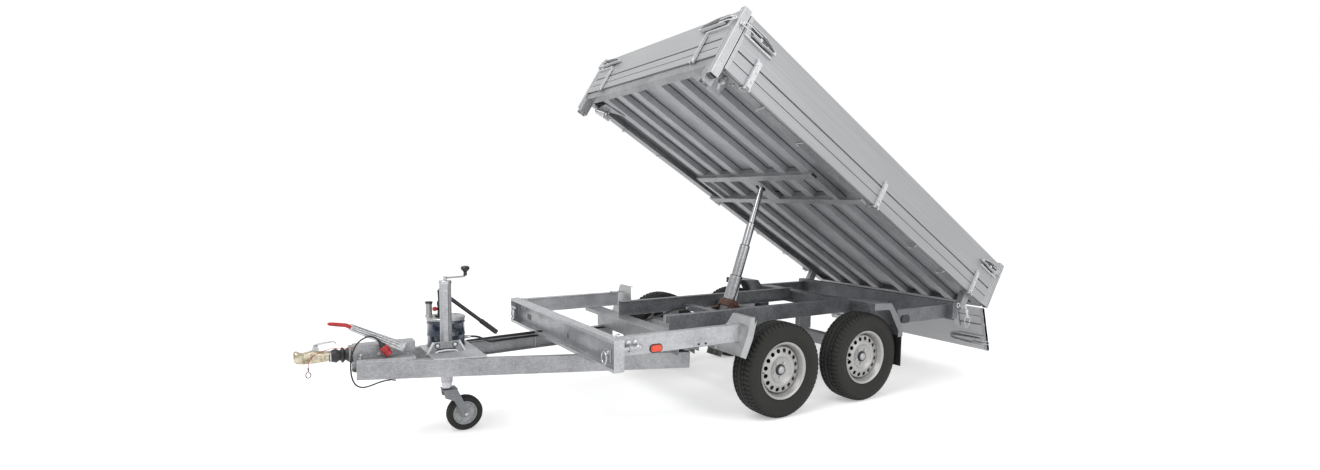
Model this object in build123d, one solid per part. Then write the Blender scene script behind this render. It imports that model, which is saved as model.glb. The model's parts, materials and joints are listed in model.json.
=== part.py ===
from build123d import *
import os
from math import atan2, cos, degrees, hypot, pi, radians, sin, sqrt, tan

# Three-way tipping utility trailer: tandem axle, V drawbar with overrun coupling, aluminium drop
# sides, bed tipped to the rear on its telescopic cylinder, tailgate hanging open, jockey wheel down.
#
# Millimetres. X is forward, Y is left, Z is up, and the ground is Z = 0. The pieces are drawn from
# the middle between the two axles, and all of them are moved by BALANCE_X at the end, so that the
# part's origin is under the middle of its outline.

os.makedirs("parts", exist_ok=True)

# ---- driving dimensions -------------------------------------------------------------------
BALANCE_X = -645.5          # where the middle between the axles ends up, along X

STEEL = 4.0                 # wall of the rolled frame sections
SEAT = 0.3                  # fitting gap between welded pieces
FRAME_TOP = 673.0           # top of the frame's rails
RAIL_HEIGHT = 110.0
REAR_RAIL_TOP = 645.0       # the side rails behind the wheels sit lower
RAIL_FLANGE = 45.0
FRAME_HALF_WIDTH = 836.0    # outer face of the side rails
INNER_RAIL_Y = 370.0        # outer face of the rails that pass between the wheels

NOSE_FACE = 1687.0          # front face of the front crossmember
NOSE_DEPTH = 65.0
NOSE_LIP = 20.0             # the channel's flanges turn in by this much at its open side
NOSE_HALF_WIDTH = 892.0
NOSE_BOTTOM = 487.0
BRIDGE_FRONT, BRIDGE_BACK = 1075.0, 945.0       # cross piece under the rails, behind the front bay
BRIDGE_LOW = 455.0
BRIDGE_DEEP_HALF, BRIDGE_END_DEPTH = 600.0, 28.0        # it is shallow outside the drawbar's tails
INNER_RAIL_REST = 60.0      # how far the inner rails run onto it
REAR_BRIDGE_FRONT, REAR_BRIDGE_BACK = -745.0, -865.0
GUARD_GAP = 6.5             # from the front side rails' ends to the mudguards behind them
TAIL_FRONT, TAIL_BACK = -1340.0, -1400.0        # rear crossmember

DRAWBAR_FRONT, DRAWBAR_TAIL = 2906.0, 959.0     # X of the rails' two ends
DRAWBAR_NOSE_Y = 113.0      # outer face of a drawbar rail at its front end
DRAWBAR_SPLAY = 0.232       # how far the rail moves outward for each unit rearward
DRAWBAR_HEIGHT, DRAWBAR_FLANGE = 105.0, 42.0
DRAWBAR_RISE = 0.0366       # how far the rail climbs for each unit forward

AXLE_SPACING = 785.0
TYRE_RADIUS, TYRE_WIDTH = 325.0, 186.0
RIM_RADIUS = 195.0          # over the flange of a 14 inch rim
SEAT_RADIUS = 178.0         # where the tyre's beads sit
RIM_WIDTH = 152.0
WHEEL_Y = 776.0             # middle of the tread
AXLE_DROP = 105.0           # wheel centre below the axle tube's centre
BEAM_Z = TYRE_RADIUS + AXLE_DROP
BEAM_LEAD = 150.0           # axle tube ahead of the wheel centre
AXLE_TUBE = 80.0
ARM_IN, ARM_THICK = 640.0, 24.0
STUB_RADIUS = 30.0
GUARD_IN, GUARD_OUT, GUARD_LIP = 640.0, 900.0, 50.0
# the mudguards' folds, as distance from the wheel's centre line and height
FRONT_GUARD = [(300, 722), (328, 722), (360, 600), (412, 480)]
REAR_GUARD = [(30, 726), (205, 716), (265, 640), (340, 520), (340, 455)]

PIVOT_X, PIVOT_Z = -1447.0, 613.0               # line through the rear tipping balls
BALL_Y = 869.0
BALL_RADIUS, NECK_RADIUS = 22.0, 14.0
SOCKET_HALF = 26.0          # a socket's half width, clear of the side rails
BALL_SETBACK = 107.0        # front ball's centre behind the front crossmember
TIP_ANGLE = 31.0            # how far the bed is tipped as it stands

# the bed in its own frame: U forward from the pivot line, W up from it, square to the floor
BED_FRONT, BED_BACK = 2995.0, -247.0
BED_HALF_WIDTH = 941.0      # over the closed boards
BOARD_LOW, BOARD_HEIGHT, BOARD_THICK = 127.0, 380.0, 25.0
FLOOR_LOW, FLOOR_SHEET = 175.0, 3.0
FRONT_BOARD_LOW = 184.0     # the front board stands on the bed's frame
RIB_DEPTH, RIB_TOP_WIDTH, RIB_FOOT_WIDTH = 48.0, 84.0, 74.0
RIB_SHEET = 2.5
RIB_INNER, RIB_PITCH = 163.0, 237.0              # the innermost ribs' distance from the middle line
BEAM_LOW = 100.0            # underside of the bed's crossbeams
BEAM_HALF = 30.0
BEAMS = (1800.0, 1465.0)
SHORT_BEAM_HALF = 710.0     # the forward crossbeam stops short of the edge frame
POST_SIDE, POST_FACE = 40.0, 60.0
FRONT_POST_LOW, REAR_POST_LOW, POST_TOP = 50.0, 132.0, 525.0
SWING_GAP = 5.5             # between a board and what stands round it
FRONT_SET = 10.0            # the edge frame's front face behind the front board's
LUG_BITE = 5.5              # how far a hinge lug runs into the edge frame
PIN_OUT, PIN_DOWN, PIN_RADIUS = 5.0, 7.0, 6.0   # a board's hinge pin, from its outer lower edge
STRAP_WIDTH, STRAP_THICK, STRAP_UP = 50.0, 5.0, 190.0

GATE_HANG = 15.8            # the open tailgate's angle from plumb
GATE_OPEN = 180 - TIP_ANGLE - GATE_HANG         # how far it has swung from closed, in the bed

CRADLE_X, CRADLE_Z = 226.0, 649.0               # the cylinder's cross pin
LIFT_U, LIFT_W = 1664.0, 128.0                  # centre of the cylinder's ball, on the bed
JOCKEY_X = 2390.0
JOCKEY_RADIUS, JOCKEY_TRAIL = 110.0, 104.0
JOCKEY_TOP, CRANK_ARM = 946.0, 122.0

AXLES = (("front", AXLE_SPACING / 2), ("rear", -AXLE_SPACING / 2))
SIDES = (("left", 1), ("right", -1))


# ---- small helpers ------------------------------------------------------------------------
def block(x, y, z):
    """A box from three (low, high) pairs, which may come in either order."""
    (x0, x1), (y0, y1), (z0, z1) = sorted(x), sorted(y), sorted(z)
    return Pos((x0 + x1) / 2, (y0 + y1) / 2, (z0 + z1) / 2) * Box(x1 - x0, y1 - y0, z1 - z0)


def rod_x(x, y, z, radius):
    return Pos((x[0] + x[1]) / 2, y, z) * Rot(0, 90, 0) * Cylinder(radius, abs(x[1] - x[0]))


def rod_y(x, y, z, radius):
    return Pos(x, (y[0] + y[1]) / 2, z) * Rot(90, 0, 0) * Cylinder(radius, abs(y[1] - y[0]))


def rod_z(x, y, z, radius):
    return Pos(x, y, (z[0] + z[1]) / 2) * Cylinder(radius, abs(z[1] - z[0]))


def turned_y(points, x, y, z):
    """A solid of revolution about the line through (x, y, z) along Y: points are (radius, offset)."""
    outline = make_face(Polyline(*[(r, o) for r, o in points], close=True))
    return Pos(x, y, z) * Rot(-90, 0, 0) * revolve(Plane.XZ * outline, Axis.Z)


def prism_y(points, y):
    """An XZ outline between two Y planes."""
    outline = Plane.XZ * make_face(Polyline(*points, close=True))
    return Pos(0, max(y), 0) * extrude(outline, amount=max(y) - min(y))


def prism_x(points, x):
    """A YZ outline between two X planes."""
    outline = Plane.YZ * make_face(Polyline(*points, close=True))
    return Pos(min(x), 0, 0) * extrude(outline, amount=max(x) - min(x))


def channel_along_x(x, web_y, side, z, flange=RAIL_FLANGE, wall=STEEL):
    """A C section along X. Its web's outer face is at web_y and its flanges point towards -side."""
    outer = block(x, (web_y, web_y - side * flange), z)
    hollow = block((x[0] - 1, x[1] + 1), (web_y - side * wall, web_y - side * (flange + 1)),
                   (z[0] + wall, z[1] - wall))
    return outer - hollow


def in_bed(shape):
    """Place a piece drawn on the level bed where the tipped bed holds it."""
    return Pos(PIVOT_X, 0, PIVOT_Z) * Rot(0, -TIP_ANGLE, 0) * shape


def bed_point(u, w):
    """The X and Z of a point that is fixed to the tipped bed."""
    c, s = cos(radians(TIP_ANGLE)), sin(radians(TIP_ANGLE))
    return PIVOT_X + u * c - w * s, PIVOT_Z + u * s + w * c


def ball_stud(root, centre, side, collar=()):
    """A tipping ball on its neck, turned about a line along X, from its root to its ball."""
    end = 1 if centre > root else -1
    meet = centre - end * sqrt(BALL_RADIUS ** 2 - NECK_RADIUS ** 2)
    tip = centre + end * BALL_RADIUS
    outline = Polyline((root, 0), (root, NECK_RADIUS), *collar, (meet, NECK_RADIUS))
    outline += ThreePointArc((meet, NECK_RADIUS), (centre, BALL_RADIUS), (tip, 0))
    outline += Line((tip, 0), (root, 0))
    return Pos(0, side * BALL_Y, PIVOT_Z) * revolve(Plane.XZ * make_face(outline), Axis.X)


def front_crossmember():
    """A deep channel that opens forward, with plates on its ends and the two front tipping balls."""
    z = (NOSE_BOTTOM, FRAME_TOP)
    back = NOSE_FACE - NOSE_DEPTH
    half = NOSE_HALF_WIDTH
    body = block((back, NOSE_FACE), (-half, half), z)
    inside = (-half + STEEL, half - STEEL)
    body -= block((back + STEEL, NOSE_FACE - STEEL), inside, (z[0] + STEEL, z[1] - STEEL))
    body -= block((back + STEEL, NOSE_FACE + 1), inside, (z[0] + NOSE_LIP, z[1] - NOSE_LIP))
    for y in (-812, -735):
        body -= block((back - 1, back + STEEL + 1), (y - 22, y + 22), (595, 650))
    collar = [(back - 40, NECK_RADIUS), (back - 40, 21), (back - 62, 21), (back - 62, NECK_RADIUS)]
    for _, side in SIDES:
        body += ball_stud(back, back - BALL_SETBACK, side, collar)
    return body


def front_rail(side):
    """A side rail from the front crossmember back to the mudguard's sloping plate."""
    z = (FRAME_TOP - RAIL_HEIGHT, FRAME_TOP)
    (upper, top), (lower, foot) = FRONT_GUARD[2:]
    plate = upper + (lower - upper) * (top - z[0]) / (top - foot)
    end = AXLE_SPACING / 2 + plate + GUARD_GAP
    return channel_along_x((end, NOSE_FACE - NOSE_DEPTH), side * FRAME_HALF_WIDTH, side, z)


def trough(x, half, z):
    """An inverted trough that lies across the frame."""
    return block(x, (-half, half), z) - block((min(x) + STEEL, max(x) - STEEL), (-half - 1, half + 1),
                                              (z[0] - 1, z[1] - STEEL))


def front_bridge():
    """The trough that the front side rails and inner rails rest on, and that rests on the drawbar's tails."""
    x, top = (BRIDGE_BACK, BRIDGE_FRONT), FRAME_TOP - RAIL_HEIGHT - SEAT
    body = trough(x, FRAME_HALF_WIDTH - STEEL, (BRIDGE_LOW, top))
    for _, side in SIDES:
        body -= block((x[0] - 1, x[1] + 1), (side * BRIDGE_DEEP_HALF, side * FRAME_HALF_WIDTH),
                      (BRIDGE_LOW - 1, top - BRIDGE_END_DEPTH))
        body -= drawbar_solid(side)
    return body


def rear_bridge():
    """The trough that ends inside the lower rear side rails."""
    z = (REAR_RAIL_TOP - RAIL_HEIGHT + STEEL, REAR_RAIL_TOP - STEEL)
    return trough((REAR_BRIDGE_BACK, REAR_BRIDGE_FRONT), FRAME_HALF_WIDTH - STEEL, z)


def inner_rail(side):
    z = (FRAME_TOP - RAIL_HEIGHT, FRAME_TOP)
    return channel_along_x((REAR_BRIDGE_FRONT, BRIDGE_BACK + INNER_RAIL_REST), side * INNER_RAIL_Y, side, z)


def rear_rail(side):
    z = (REAR_RAIL_TOP - RAIL_HEIGHT, REAR_RAIL_TOP)
    return channel_along_x((TAIL_FRONT, REAR_BRIDGE_FRONT), side * FRAME_HALF_WIDTH, side, z)


def rear_crossmember():
    """A channel that opens rearward, with the two rear tipping balls on short necks."""
    z = (REAR_RAIL_TOP - RAIL_HEIGHT - STEEL, REAR_RAIL_TOP + 20)
    half = NOSE_HALF_WIDTH
    body = block((TAIL_BACK, TAIL_FRONT), (-half, half), z)
    body -= block((TAIL_BACK - 1, TAIL_FRONT - STEEL), (-half + STEEL, half - STEEL),
                  (z[0] + STEEL, z[1] - STEEL))
    for _, side in SIDES:
        body += block((TAIL_BACK, TAIL_FRONT), (side * (BALL_Y - 30), side * NOSE_HALF_WIDTH), z)
        body += ball_stud(TAIL_BACK, PIVOT_X, side)
    return body


def drawbar_axes(side):
    """The rail's own plane: X along the rail towards the front, Z square to it, Y across."""
    along = Vector(1, -side * DRAWBAR_SPLAY, DRAWBAR_RISE)
    tail_y = side * (DRAWBAR_NOSE_Y + (DRAWBAR_FRONT - DRAWBAR_TAIL) * DRAWBAR_SPLAY)
    tail_z = NOSE_BOTTOM - 2 * SEAT - (NOSE_FACE - DRAWBAR_TAIL) * DRAWBAR_RISE
    up = Vector(0, 0, 1).cross(along).cross(along) * -1
    return Plane(origin=(DRAWBAR_TAIL, tail_y, tail_z), x_dir=along, z_dir=up)


def drawbar_length():
    return (DRAWBAR_FRONT - DRAWBAR_TAIL) * sqrt(1 + DRAWBAR_SPLAY ** 2 + DRAWBAR_RISE ** 2)


def drawbar_rail(side):
    """A channel from under the frame to the coupling, its web outside and its top at the frame."""
    body = channel_along_x((0, drawbar_length()), 0, side, (-DRAWBAR_HEIGHT, 0), DRAWBAR_FLANGE)
    body = drawbar_axes(side).location * body
    if side == 1:
        _, y, z = CABLE[0]
        body += block((CLIP_FRONT - 16, CLIP_FRONT), (y - 9, y + 9), (z - 9, z + 12))
    return body


def drawbar_solid(side):
    """The space that a drawbar rail fills, for seating what rests on it."""
    return drawbar_axes(side).location * block((-50, drawbar_length()),
                                               (0, -side * DRAWBAR_FLANGE), (-DRAWBAR_HEIGHT, 0))


def outside_drawbar(side):
    """The space beyond a drawbar rail's web."""
    return drawbar_axes(side).location * block((-50, drawbar_length()), (0.0, side * 400), (-300, 300))


# ---- running gear -------------------------------------------------------------------------


def swing_arm(x, side):
    """The trailing arm from the torsion tube's end back to the hub, with the stub axle."""
    beam_x = x + BEAM_LEAD
    y = (side * ARM_IN, side * (ARM_IN + ARM_THICK))
    hub_z = TYRE_RADIUS
    a = atan2(hub_z - BEAM_Z, x - beam_x)
    nx, nz = -sin(a), cos(a)
    big, small = 45, 34
    outline = [(beam_x + nx * big, BEAM_Z + nz * big), (beam_x - nx * big, BEAM_Z - nz * big),
               (x - nx * small, hub_z - nz * small), (x + nx * small, hub_z + nz * small)]
    body = prism_y(outline, y)
    body += rod_y(beam_x, y, BEAM_Z, big) + rod_y(x, y, hub_z, small)
    return body + rod_y(x, (y[1], y[1] + side * 30), hub_z, STUB_RADIUS)


def axle(x):
    """A square torsion tube hung under the inner rails on two brackets, with its trailing arms."""
    beam_x = x + BEAM_LEAD
    half = AXLE_TUBE / 2
    body = block((beam_x - half, beam_x + half), (-ARM_IN, ARM_IN), (BEAM_Z - half, BEAM_Z + half))
    body -= block((beam_x - half + 5, beam_x + half - 5), (10 - ARM_IN, ARM_IN - 10),
                  (BEAM_Z - half + 5, BEAM_Z + half - 5))
    for _, side in SIDES:
        y = (side * (INNER_RAIL_Y - RAIL_FLANGE), side * INNER_RAIL_Y)
        body += block((beam_x - 60, beam_x + 60), y, (BEAM_Z + half, FRAME_TOP - RAIL_HEIGHT))
        body += swing_arm(x, side)
    return body


def wheel(x, side):
    """A pressed steel 14 inch rim with its disc and centre cap, bolted to the hub and brake drum."""
    o = RIM_WIDTH / 2
    barrel = [(RIM_RADIUS, -o), (RIM_RADIUS, -o + 6), (SEAT_RADIUS, -o + 12), (SEAT_RADIUS, -o + 34),
              (160, -o + 46), (160, o - 60), (SEAT_RADIUS, o - 34), (SEAT_RADIUS, o - 12),
              (RIM_RADIUS, o - 6), (RIM_RADIUS, o), (SEAT_RADIUS - 5, o),
              (SEAT_RADIUS - 5, o - 36), (155, o - 62), (155, -o + 48), (SEAT_RADIUS - 5, -o + 36),
              (SEAT_RADIUS - 5, -o)]
    disc = [(0, 4), (60, 4), (80, 16), (120, 24), (155.5, o - 72), (155.5, o - 64), (120, 32),
            (78, 24), (58, 12), (36, 12), (34, 34), (0, 36)]
    turned = turned_y([(r, side * w) for r, w in barrel], x, side * WHEEL_Y, TYRE_RADIUS)
    turned += turned_y([(r, side * w) for r, w in disc], x, side * WHEEL_Y, TYRE_RADIUS)
    bore = STUB_RADIUS + 0.4
    drum = [(bore, -106), (108, -106), (108, -44), (72, -30), (72, 5), (0, 5), (0, -80), (bore, -80)]
    turned += turned_y([(r, side * w) for r, w in drum], x, side * WHEEL_Y, TYRE_RADIUS)
    holes = 16
    for k in range(holes):
        a = 2 * pi * k / holes
        turned -= rod_y(x + 132 * cos(a), (side * (WHEEL_Y - 20), side * (WHEEL_Y + 60)),
                        TYRE_RADIUS + 132 * sin(a), 9)
    return turned


def tyre(x, side):
    h = TYRE_WIDTH / 2
    o = RIM_WIDTH / 2
    r = TYRE_RADIUS
    points = [(SEAT_RADIUS, -o + 12.5), (SEAT_RADIUS + 17, -o + 6.5), (RIM_RADIUS + 6, -o + 2),
              (240, -h + 2), (268, -h), (296, -h + 5), (312, -h + 14), (r - 3, -h + 26), (r, -h + 60),
              (r, h - 60), (r - 3, h - 26), (312, h - 14), (296, h - 5), (268, h), (240, h - 2),
              (RIM_RADIUS + 6, o - 2), (SEAT_RADIUS + 17, o - 6.5), (SEAT_RADIUS, o - 12.5)]
    return turned_y([(r, side * w) for r, w in points], x, side * WHEEL_Y, TYRE_RADIUS)


def offset_line(points, wall):
    """The same open outline moved by a wall's thickness towards the wheel, for a folded plate."""
    moved = []
    for k, (x, z) in enumerate(points):
        before, after = points[max(k - 1, 0)], points[min(k + 1, len(points) - 1)]
        dx, dz = after[0] - before[0], after[1] - before[1]
        length = hypot(dx, dz)
        moved.append((x + wall * dz / length, z - wall * dx / length))
    return moved


def mudguard(side, end):
    """A folded plate ahead of the front wheel (end is 1) or round the back of the rear one (-1)."""
    hub_x = end * AXLE_SPACING / 2
    fold = FRONT_GUARD if end == 1 else REAR_GUARD
    outline = [(hub_x + end * a, z) for a, z in fold + offset_line(fold, 3)[::-1]]
    body = prism_y(outline, (side * GUARD_IN, side * GUARD_OUT))
    lip = [(hub_x + end * a, z) for a, z in fold + offset_line(fold, GUARD_LIP)[::-1]]
    body += prism_y(lip, (side * (GUARD_OUT - 3), side * GUARD_OUT))
    if end == 1:
        inner = [(side * (GUARD_IN - 1), 600), (side * (GUARD_IN - 1), 760), (side * (GUARD_IN + 85), 760)]
        body -= prism_x(inner, (hub_x, hub_x + 500))
        seat_y = (side * (FRAME_HALF_WIDTH - 41), side * (FRAME_HALF_WIDTH - 3))
        return body + block((hub_x + 340, hub_x + 460), seat_y, (FRAME_TOP + SEAT, FRAME_TOP + STEEL))
    stay = [(REAR_BRIDGE_FRONT + SEAT, 560), (REAR_BRIDGE_FRONT + SEAT, 600),
            (hub_x - 289, 600), (hub_x - 314, 560)]
    return body + prism_y(stay, (side * 700, side * 820))


def mud_flap(side):
    """The rubber flap behind the rear wheel, bolted to the foot of the mudguard."""
    x = -AXLE_SPACING / 2 - REAR_GUARD[-1][0]
    return block((x - 6 - SEAT, x - SEAT), (side * (GUARD_IN + 10), side * (GUARD_OUT - 12)), (225, 520))


# ---- drawbar fittings ---------------------------------------------------------------------
COUPLING_Z = 560.0          # line of the coupling's draw tube
HANDBRAKE_ANGLE = 22.0      # the lever's climb, forward
CROSS_PLATE_Z = 512.0       # plate on the rails that carries the jockey wheel and the oil tank
TANK_X, TANK_Y = JOCKEY_X - 37, -160.0
TANK_RADIUS, TANK_TOP = 115.0, 705.0
PUMP_LEVER_ANGLE = 40.0     # the handle's slope, down towards the rear

CABLE_RADIUS, SAFETY_RADIUS, HOSE_RADIUS = 4.4, 1.8, 7.0
CLIP_FRONT = 2722.0         # the cable's clip under the left drawbar rail
# the electric cable's route, from the clip to the plug's boot
CABLE = [(CLIP_FRONT, 128, 410), (2763, 128, 410), (2806, 117, 397), (2846, 102, 380), (2880, 90, 374),
         (2909, 82, 388), (2926, 77, 420), (2933, 75, 462), (2934, 76, 508), (2929, 78, 552), (2918, 81, 594),
         (2897, 85, 633), (2865, 89, 659), (2828, 94, 668), (2798, 97, 655), (2781, 99, 628)]
# the safety cable's route, from the overrun unit's front to its hook
SAFETY = [(2912, 47, 601), (2950, 47, 601), (2990, 44, 607), (3030, 42, 606), (3068, 42, 598), (3103, 44, 585),
          (3130, 47, 562), (3142, 49, 532), (3142, 49, 504)]
# the oil hose's route, from the tank's union to the crossbeam
HOSE = [(2222, TANK_Y, 556), (2165, TANK_Y, 556), (2100, -200, 520), (2040, -258, 482), (1960, -311, 476),
        (1180, -493, 451), (1020, -530, 444), (930, -524, 440), (830, -450, 468), (730, -340, 515),
        (630, -285, 560), (540, -275, 588), (426, -275, 588)]


def overrun_housing():
    """The cast overrun unit between the drawbar rails."""
    body = block((2580, 2912), (-50, 50), (500, 606))
    body += block((2600, 2904), (-170, 170), (508, 540))
    body += rod_x((2912, 2936), 0, COUPLING_Z, 48)
    body -= rod_x((2700, 2940), 0, COUPLING_Z, 25 + SEAT)
    for _, side in SIDES:
        body -= drawbar_solid(side)
        body -= outside_drawbar(side)
    return body


def coupling_head():
    """The ball coupling on its draw tube."""
    body = rod_x((2720, 3080), 0, COUPLING_Z, 25)
    body += block((3060, 3150), (-38, 38), (COUPLING_Z - 34, COUPLING_Z + 30))
    body += Pos(3180, 0, COUPLING_Z - 14) * Sphere(42)
    body -= Pos(3180, 0, COUPLING_Z - 25) * Sphere(25.3)
    body -= block((3100, 3240), (-60, 60), (COUPLING_Z - 90, COUPLING_Z - 38))
    body += block((3100, 3126), (-9, 9), (COUPLING_Z + 20, COUPLING_Z + 64))
    return body + block((3004, 3126), (-9, 9), (COUPLING_Z + 60, COUPLING_Z + 72))


def handbrake_lever():
    """The perforated lever on the overrun unit's left side, laid forward and up."""
    pivot = (2640, 0, 600)
    body = block((2625, 2990), (56, 80), (586, 614)) - block((2640, 3000), (60, 76), (590, 620))
    body = Pos(*pivot) * Rot(0, -HANDBRAKE_ANGLE, 0) * Pos(-pivot[0], 0, -pivot[2]) * body
    return body + block((2600, 2680), (50 + SEAT, 56), (560, 640))


def jockey_tube():
    """The jockey wheel's outer tube, clamped to a cross plate on the drawbar rails."""
    x = JOCKEY_X
    tube = rod_z(x, 0, (320, JOCKEY_TOP), 35)
    tube += block((x - 175, x + 120), (-290, 290), (CROSS_PLATE_Z, CROSS_PLATE_Z + 8))
    web = [(x - 110, CROSS_PLATE_Z), (x + 130, CROSS_PLATE_Z), (x + 90, CROSS_PLATE_Z + 70),
           (x - 70, CROSS_PLATE_Z + 70)]
    tube += prism_y(web, (34, 42))
    tube -= rod_z(x, 0, (300, JOCKEY_TOP - 16), 30.5)
    for _, side in SIDES:
        tube -= drawbar_solid(side)
        tube -= outside_drawbar(side)
    return tube


def jockey_crank():
    """The crank on the tube's cap, folded rearward, with its knob up."""
    x, z = JOCKEY_X, JOCKEY_TOP
    body = rod_z(x, 0, (z + SEAT, z + 28), 9)
    body += block((x - CRANK_ARM - 8, x + 9), (-8, 8), (z + 16, z + 22))
    body += rod_z(x - CRANK_ARM, 0, (z + 22, z + 44), 7)
    return body + rod_z(x - CRANK_ARM, 0, (z + 44, z + 66), 16)


def jockey_leg():
    """The screwed inner tube, with the swivel pin below it."""
    leg = rod_z(JOCKEY_X, 0, (285, 895), 30)
    leg += rod_z(JOCKEY_X, 0, (240, 285), 12)
    return leg


def jockey_fork():
    """The swivelling fork that trails the jockey wheel."""
    top = 279
    axle = (JOCKEY_X - JOCKEY_TRAIL, JOCKEY_RADIUS)
    body = block((JOCKEY_X - 60, JOCKEY_X + 34), (-46, 46), (top - 8, top))
    outline = [(JOCKEY_X + 34, top), (JOCKEY_X - 60, top), (axle[0] - 24, axle[1]), (axle[0], axle[1] - 22),
               (axle[0] + 24, axle[1])]
    for _, side in SIDES:
        body += prism_y(outline, (side * 40, side * 46))
    body += rod_y(axle[0], (-52, 52), axle[1], 8)
    body -= rod_z(JOCKEY_X, 0, (200, 300), 12.3)
    return body


def jockey_wheel():
    x, z = JOCKEY_X - JOCKEY_TRAIL, JOCKEY_RADIUS
    points = [(8.3, -34), (28, -34), (28, -12), (60, -12), (68, -30), (96, -32), (JOCKEY_RADIUS, -18),
              (JOCKEY_RADIUS, 18), (96, 32), (68, 30), (60, 12), (28, 12), (28, 34), (8.3, 34)]
    return turned_y(points, x, 0, z)


def hand_pump():
    """The oil tank on the cross plate, with its filler neck, the pump on its lid and the hose's union."""
    x, y = TANK_X, TANK_Y
    body = rod_z(x, y, (CROSS_PLATE_Z + 8 + SEAT, TANK_TOP), TANK_RADIUS)
    body += rod_z(x + 80, y - 40, (TANK_TOP, TANK_TOP + 80), 17)
    body += rod_z(x + 27, y, (TANK_TOP, TANK_TOP + 98), 24)
    body += block((x + 9, x + 47), (y - 15, y + 15), (TANK_TOP + 98, TANK_TOP + 180))
    body -= block((x, x + 60), (y - 9 - SEAT, y + 9 + SEAT), (TANK_TOP + 130, TANK_TOP + 190))
    return body + rod_x((HOSE[0][0], x - TANK_RADIUS + 20), y, HOSE[0][2], 12)


def pump_lever():
    """The pump's handle, in the fork on the pump's head, laid rearward and down, with its grip."""
    x, z = TANK_X + 30, TANK_TOP + 160
    body = block((-14, 14), (-9, 9), (-12, 12))
    body += rod_x((-330, -10), 0, 0, 7) + rod_x((-468, -328), 0, 0, 14)
    return Pos(x, TANK_Y, z) * Rot(0, -PUMP_LEVER_ANGLE, 0) * body


# ---- cables and hoses ---------------------------------------------------------------------
def routed(points, radius, free=True):
    """A tube of straight runs joined by tangent arcs, each as large as its two runs allow."""
    p = [Vector(*q) for q in points]
    radii = []
    for before, here, after in zip(p, p[1:], p[2:]):
        a, b = here - before, after - here
        turn = radians(a.get_angle(b))
        radii.append(min(0.45 * min(a.length, b.length) / tan(turn / 2), 4000.0))
    if free:
        print("radii", [round(r) for r in radii])
    path = FilletPolyline(*points, radius=radii)
    section = Plane(origin=p[0], z_dir=p[1] - p[0]) * Circle(radius)
    tube = sweep(section, path=path)
    print("volume ratio", round(tube.volume / (path.length * pi * radius ** 2), 4), "length", round(path.length))
    return tube


def electric_cable():
    """From a clip under the left drawbar rail, forward in a loop, up past the rail's end to its plug."""
    return routed(CABLE, CABLE_RADIUS)


def cable_plug():
    """The plug with its boot, leaning on the overrun unit's plate."""
    end, before = Vector(*CABLE[-1]), Vector(*CABLE[-2])
    along = (end - before).normalized()
    standing = (Align.CENTER, Align.CENTER, Align.MIN)
    body = Cylinder(11, 38, align=standing)
    body += Pos(0, 0, 38) * Cylinder(24, 44, align=standing)
    return Plane(origin=end, z_dir=along).location * body


def breakaway_cable():
    """The thin safety cable that lies over the bellows and the coupling's edge."""
    return routed(SAFETY, SAFETY_RADIUS)


def breakaway_hook():
    """The snap hook that hangs on the safety cable."""
    x, y, z = SAFETY[-1]
    body = rod_z(x, y, (z - 12, z), 4)
    ring = Pos(x, y, z - 30) * Rot(90, 0, 0) * (Torus(18, 3))
    return body + ring


def hydraulic_hose():
    """From the tank along the right drawbar rail's channel to the crossbeam by the cylinder."""
    return routed(HOSE, HOSE_RADIUS, free=False)


# ---- tipping cylinder ---------------------------------------------------------------------
LIFT_X, LIFT_Z = bed_point(LIFT_U, LIFT_W)
CYLINDER_REACH = hypot(LIFT_X - CRADLE_X, LIFT_Z - CRADLE_Z)
CYLINDER_LEAN = degrees(atan2(CRADLE_X - LIFT_X, LIFT_Z - CRADLE_Z))
STAGE_TOPS = (222.0, 473.0, 659.0)              # from the cross pin, as it stands
STAGE_RADII = (50.0, 40.5, 33.0)
BARREL_RADIUS = 60.0
PIN_END = 92.0              # the cross pin's ends are flush with the cradle's sides
STAGE_CLOSED = (38.0, 46.0, 54.0)
BARREL_TOP, BARREL_FOOT = 30.0, -405.0
ROD_RADIUS = 22.5
LIFT_BALL = 31.0


def on_cylinder(shape):
    """Place a piece drawn upright at the cross pin along the leaning cylinder."""
    return Pos(CRADLE_X, 0, CRADLE_Z) * Rot(0, -CYLINDER_LEAN, 0) * shape


def cylinder_barrel():
    """The lowest tube, closed at its foot, with the cross pin's two halves on their bosses."""
    body = rod_z(0, 0, (BARREL_FOOT - 12, BARREL_TOP), BARREL_RADIUS)
    for _, side in SIDES:
        body += rod_y(0, (side * (BARREL_RADIUS - 8), side * PIN_END), 0, 16)
        body += rod_y(0, (side * (BARREL_RADIUS - 8), side * (BARREL_RADIUS + 4)), 0, 22)
    return on_cylinder(body - rod_z(0, 0, (BARREL_FOOT, BARREL_TOP + 1), STAGE_RADII[0] + 1))


def cylinder_stage(k):
    """A hollow stage: its foot keeps the length that it has inside the closed cylinder."""
    top = STAGE_TOPS[k]
    foot = top - STAGE_CLOSED[k] + BARREL_FOOT + 6 + 6 * k
    inner = (STAGE_RADII + (ROD_RADIUS,))[k + 1] + 1
    body = rod_z(0, 0, (foot, top), STAGE_RADII[k]) - rod_z(0, 0, (foot - 1, top + 1), inner)
    return on_cylinder(body)


def cylinder_rod():
    foot = CYLINDER_REACH - 96 + BARREL_FOOT + 24
    body = rod_z(0, 0, (foot, CYLINDER_REACH), ROD_RADIUS) + Pos(0, 0, CYLINDER_REACH) * Sphere(LIFT_BALL)
    return on_cylinder(body)


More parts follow.
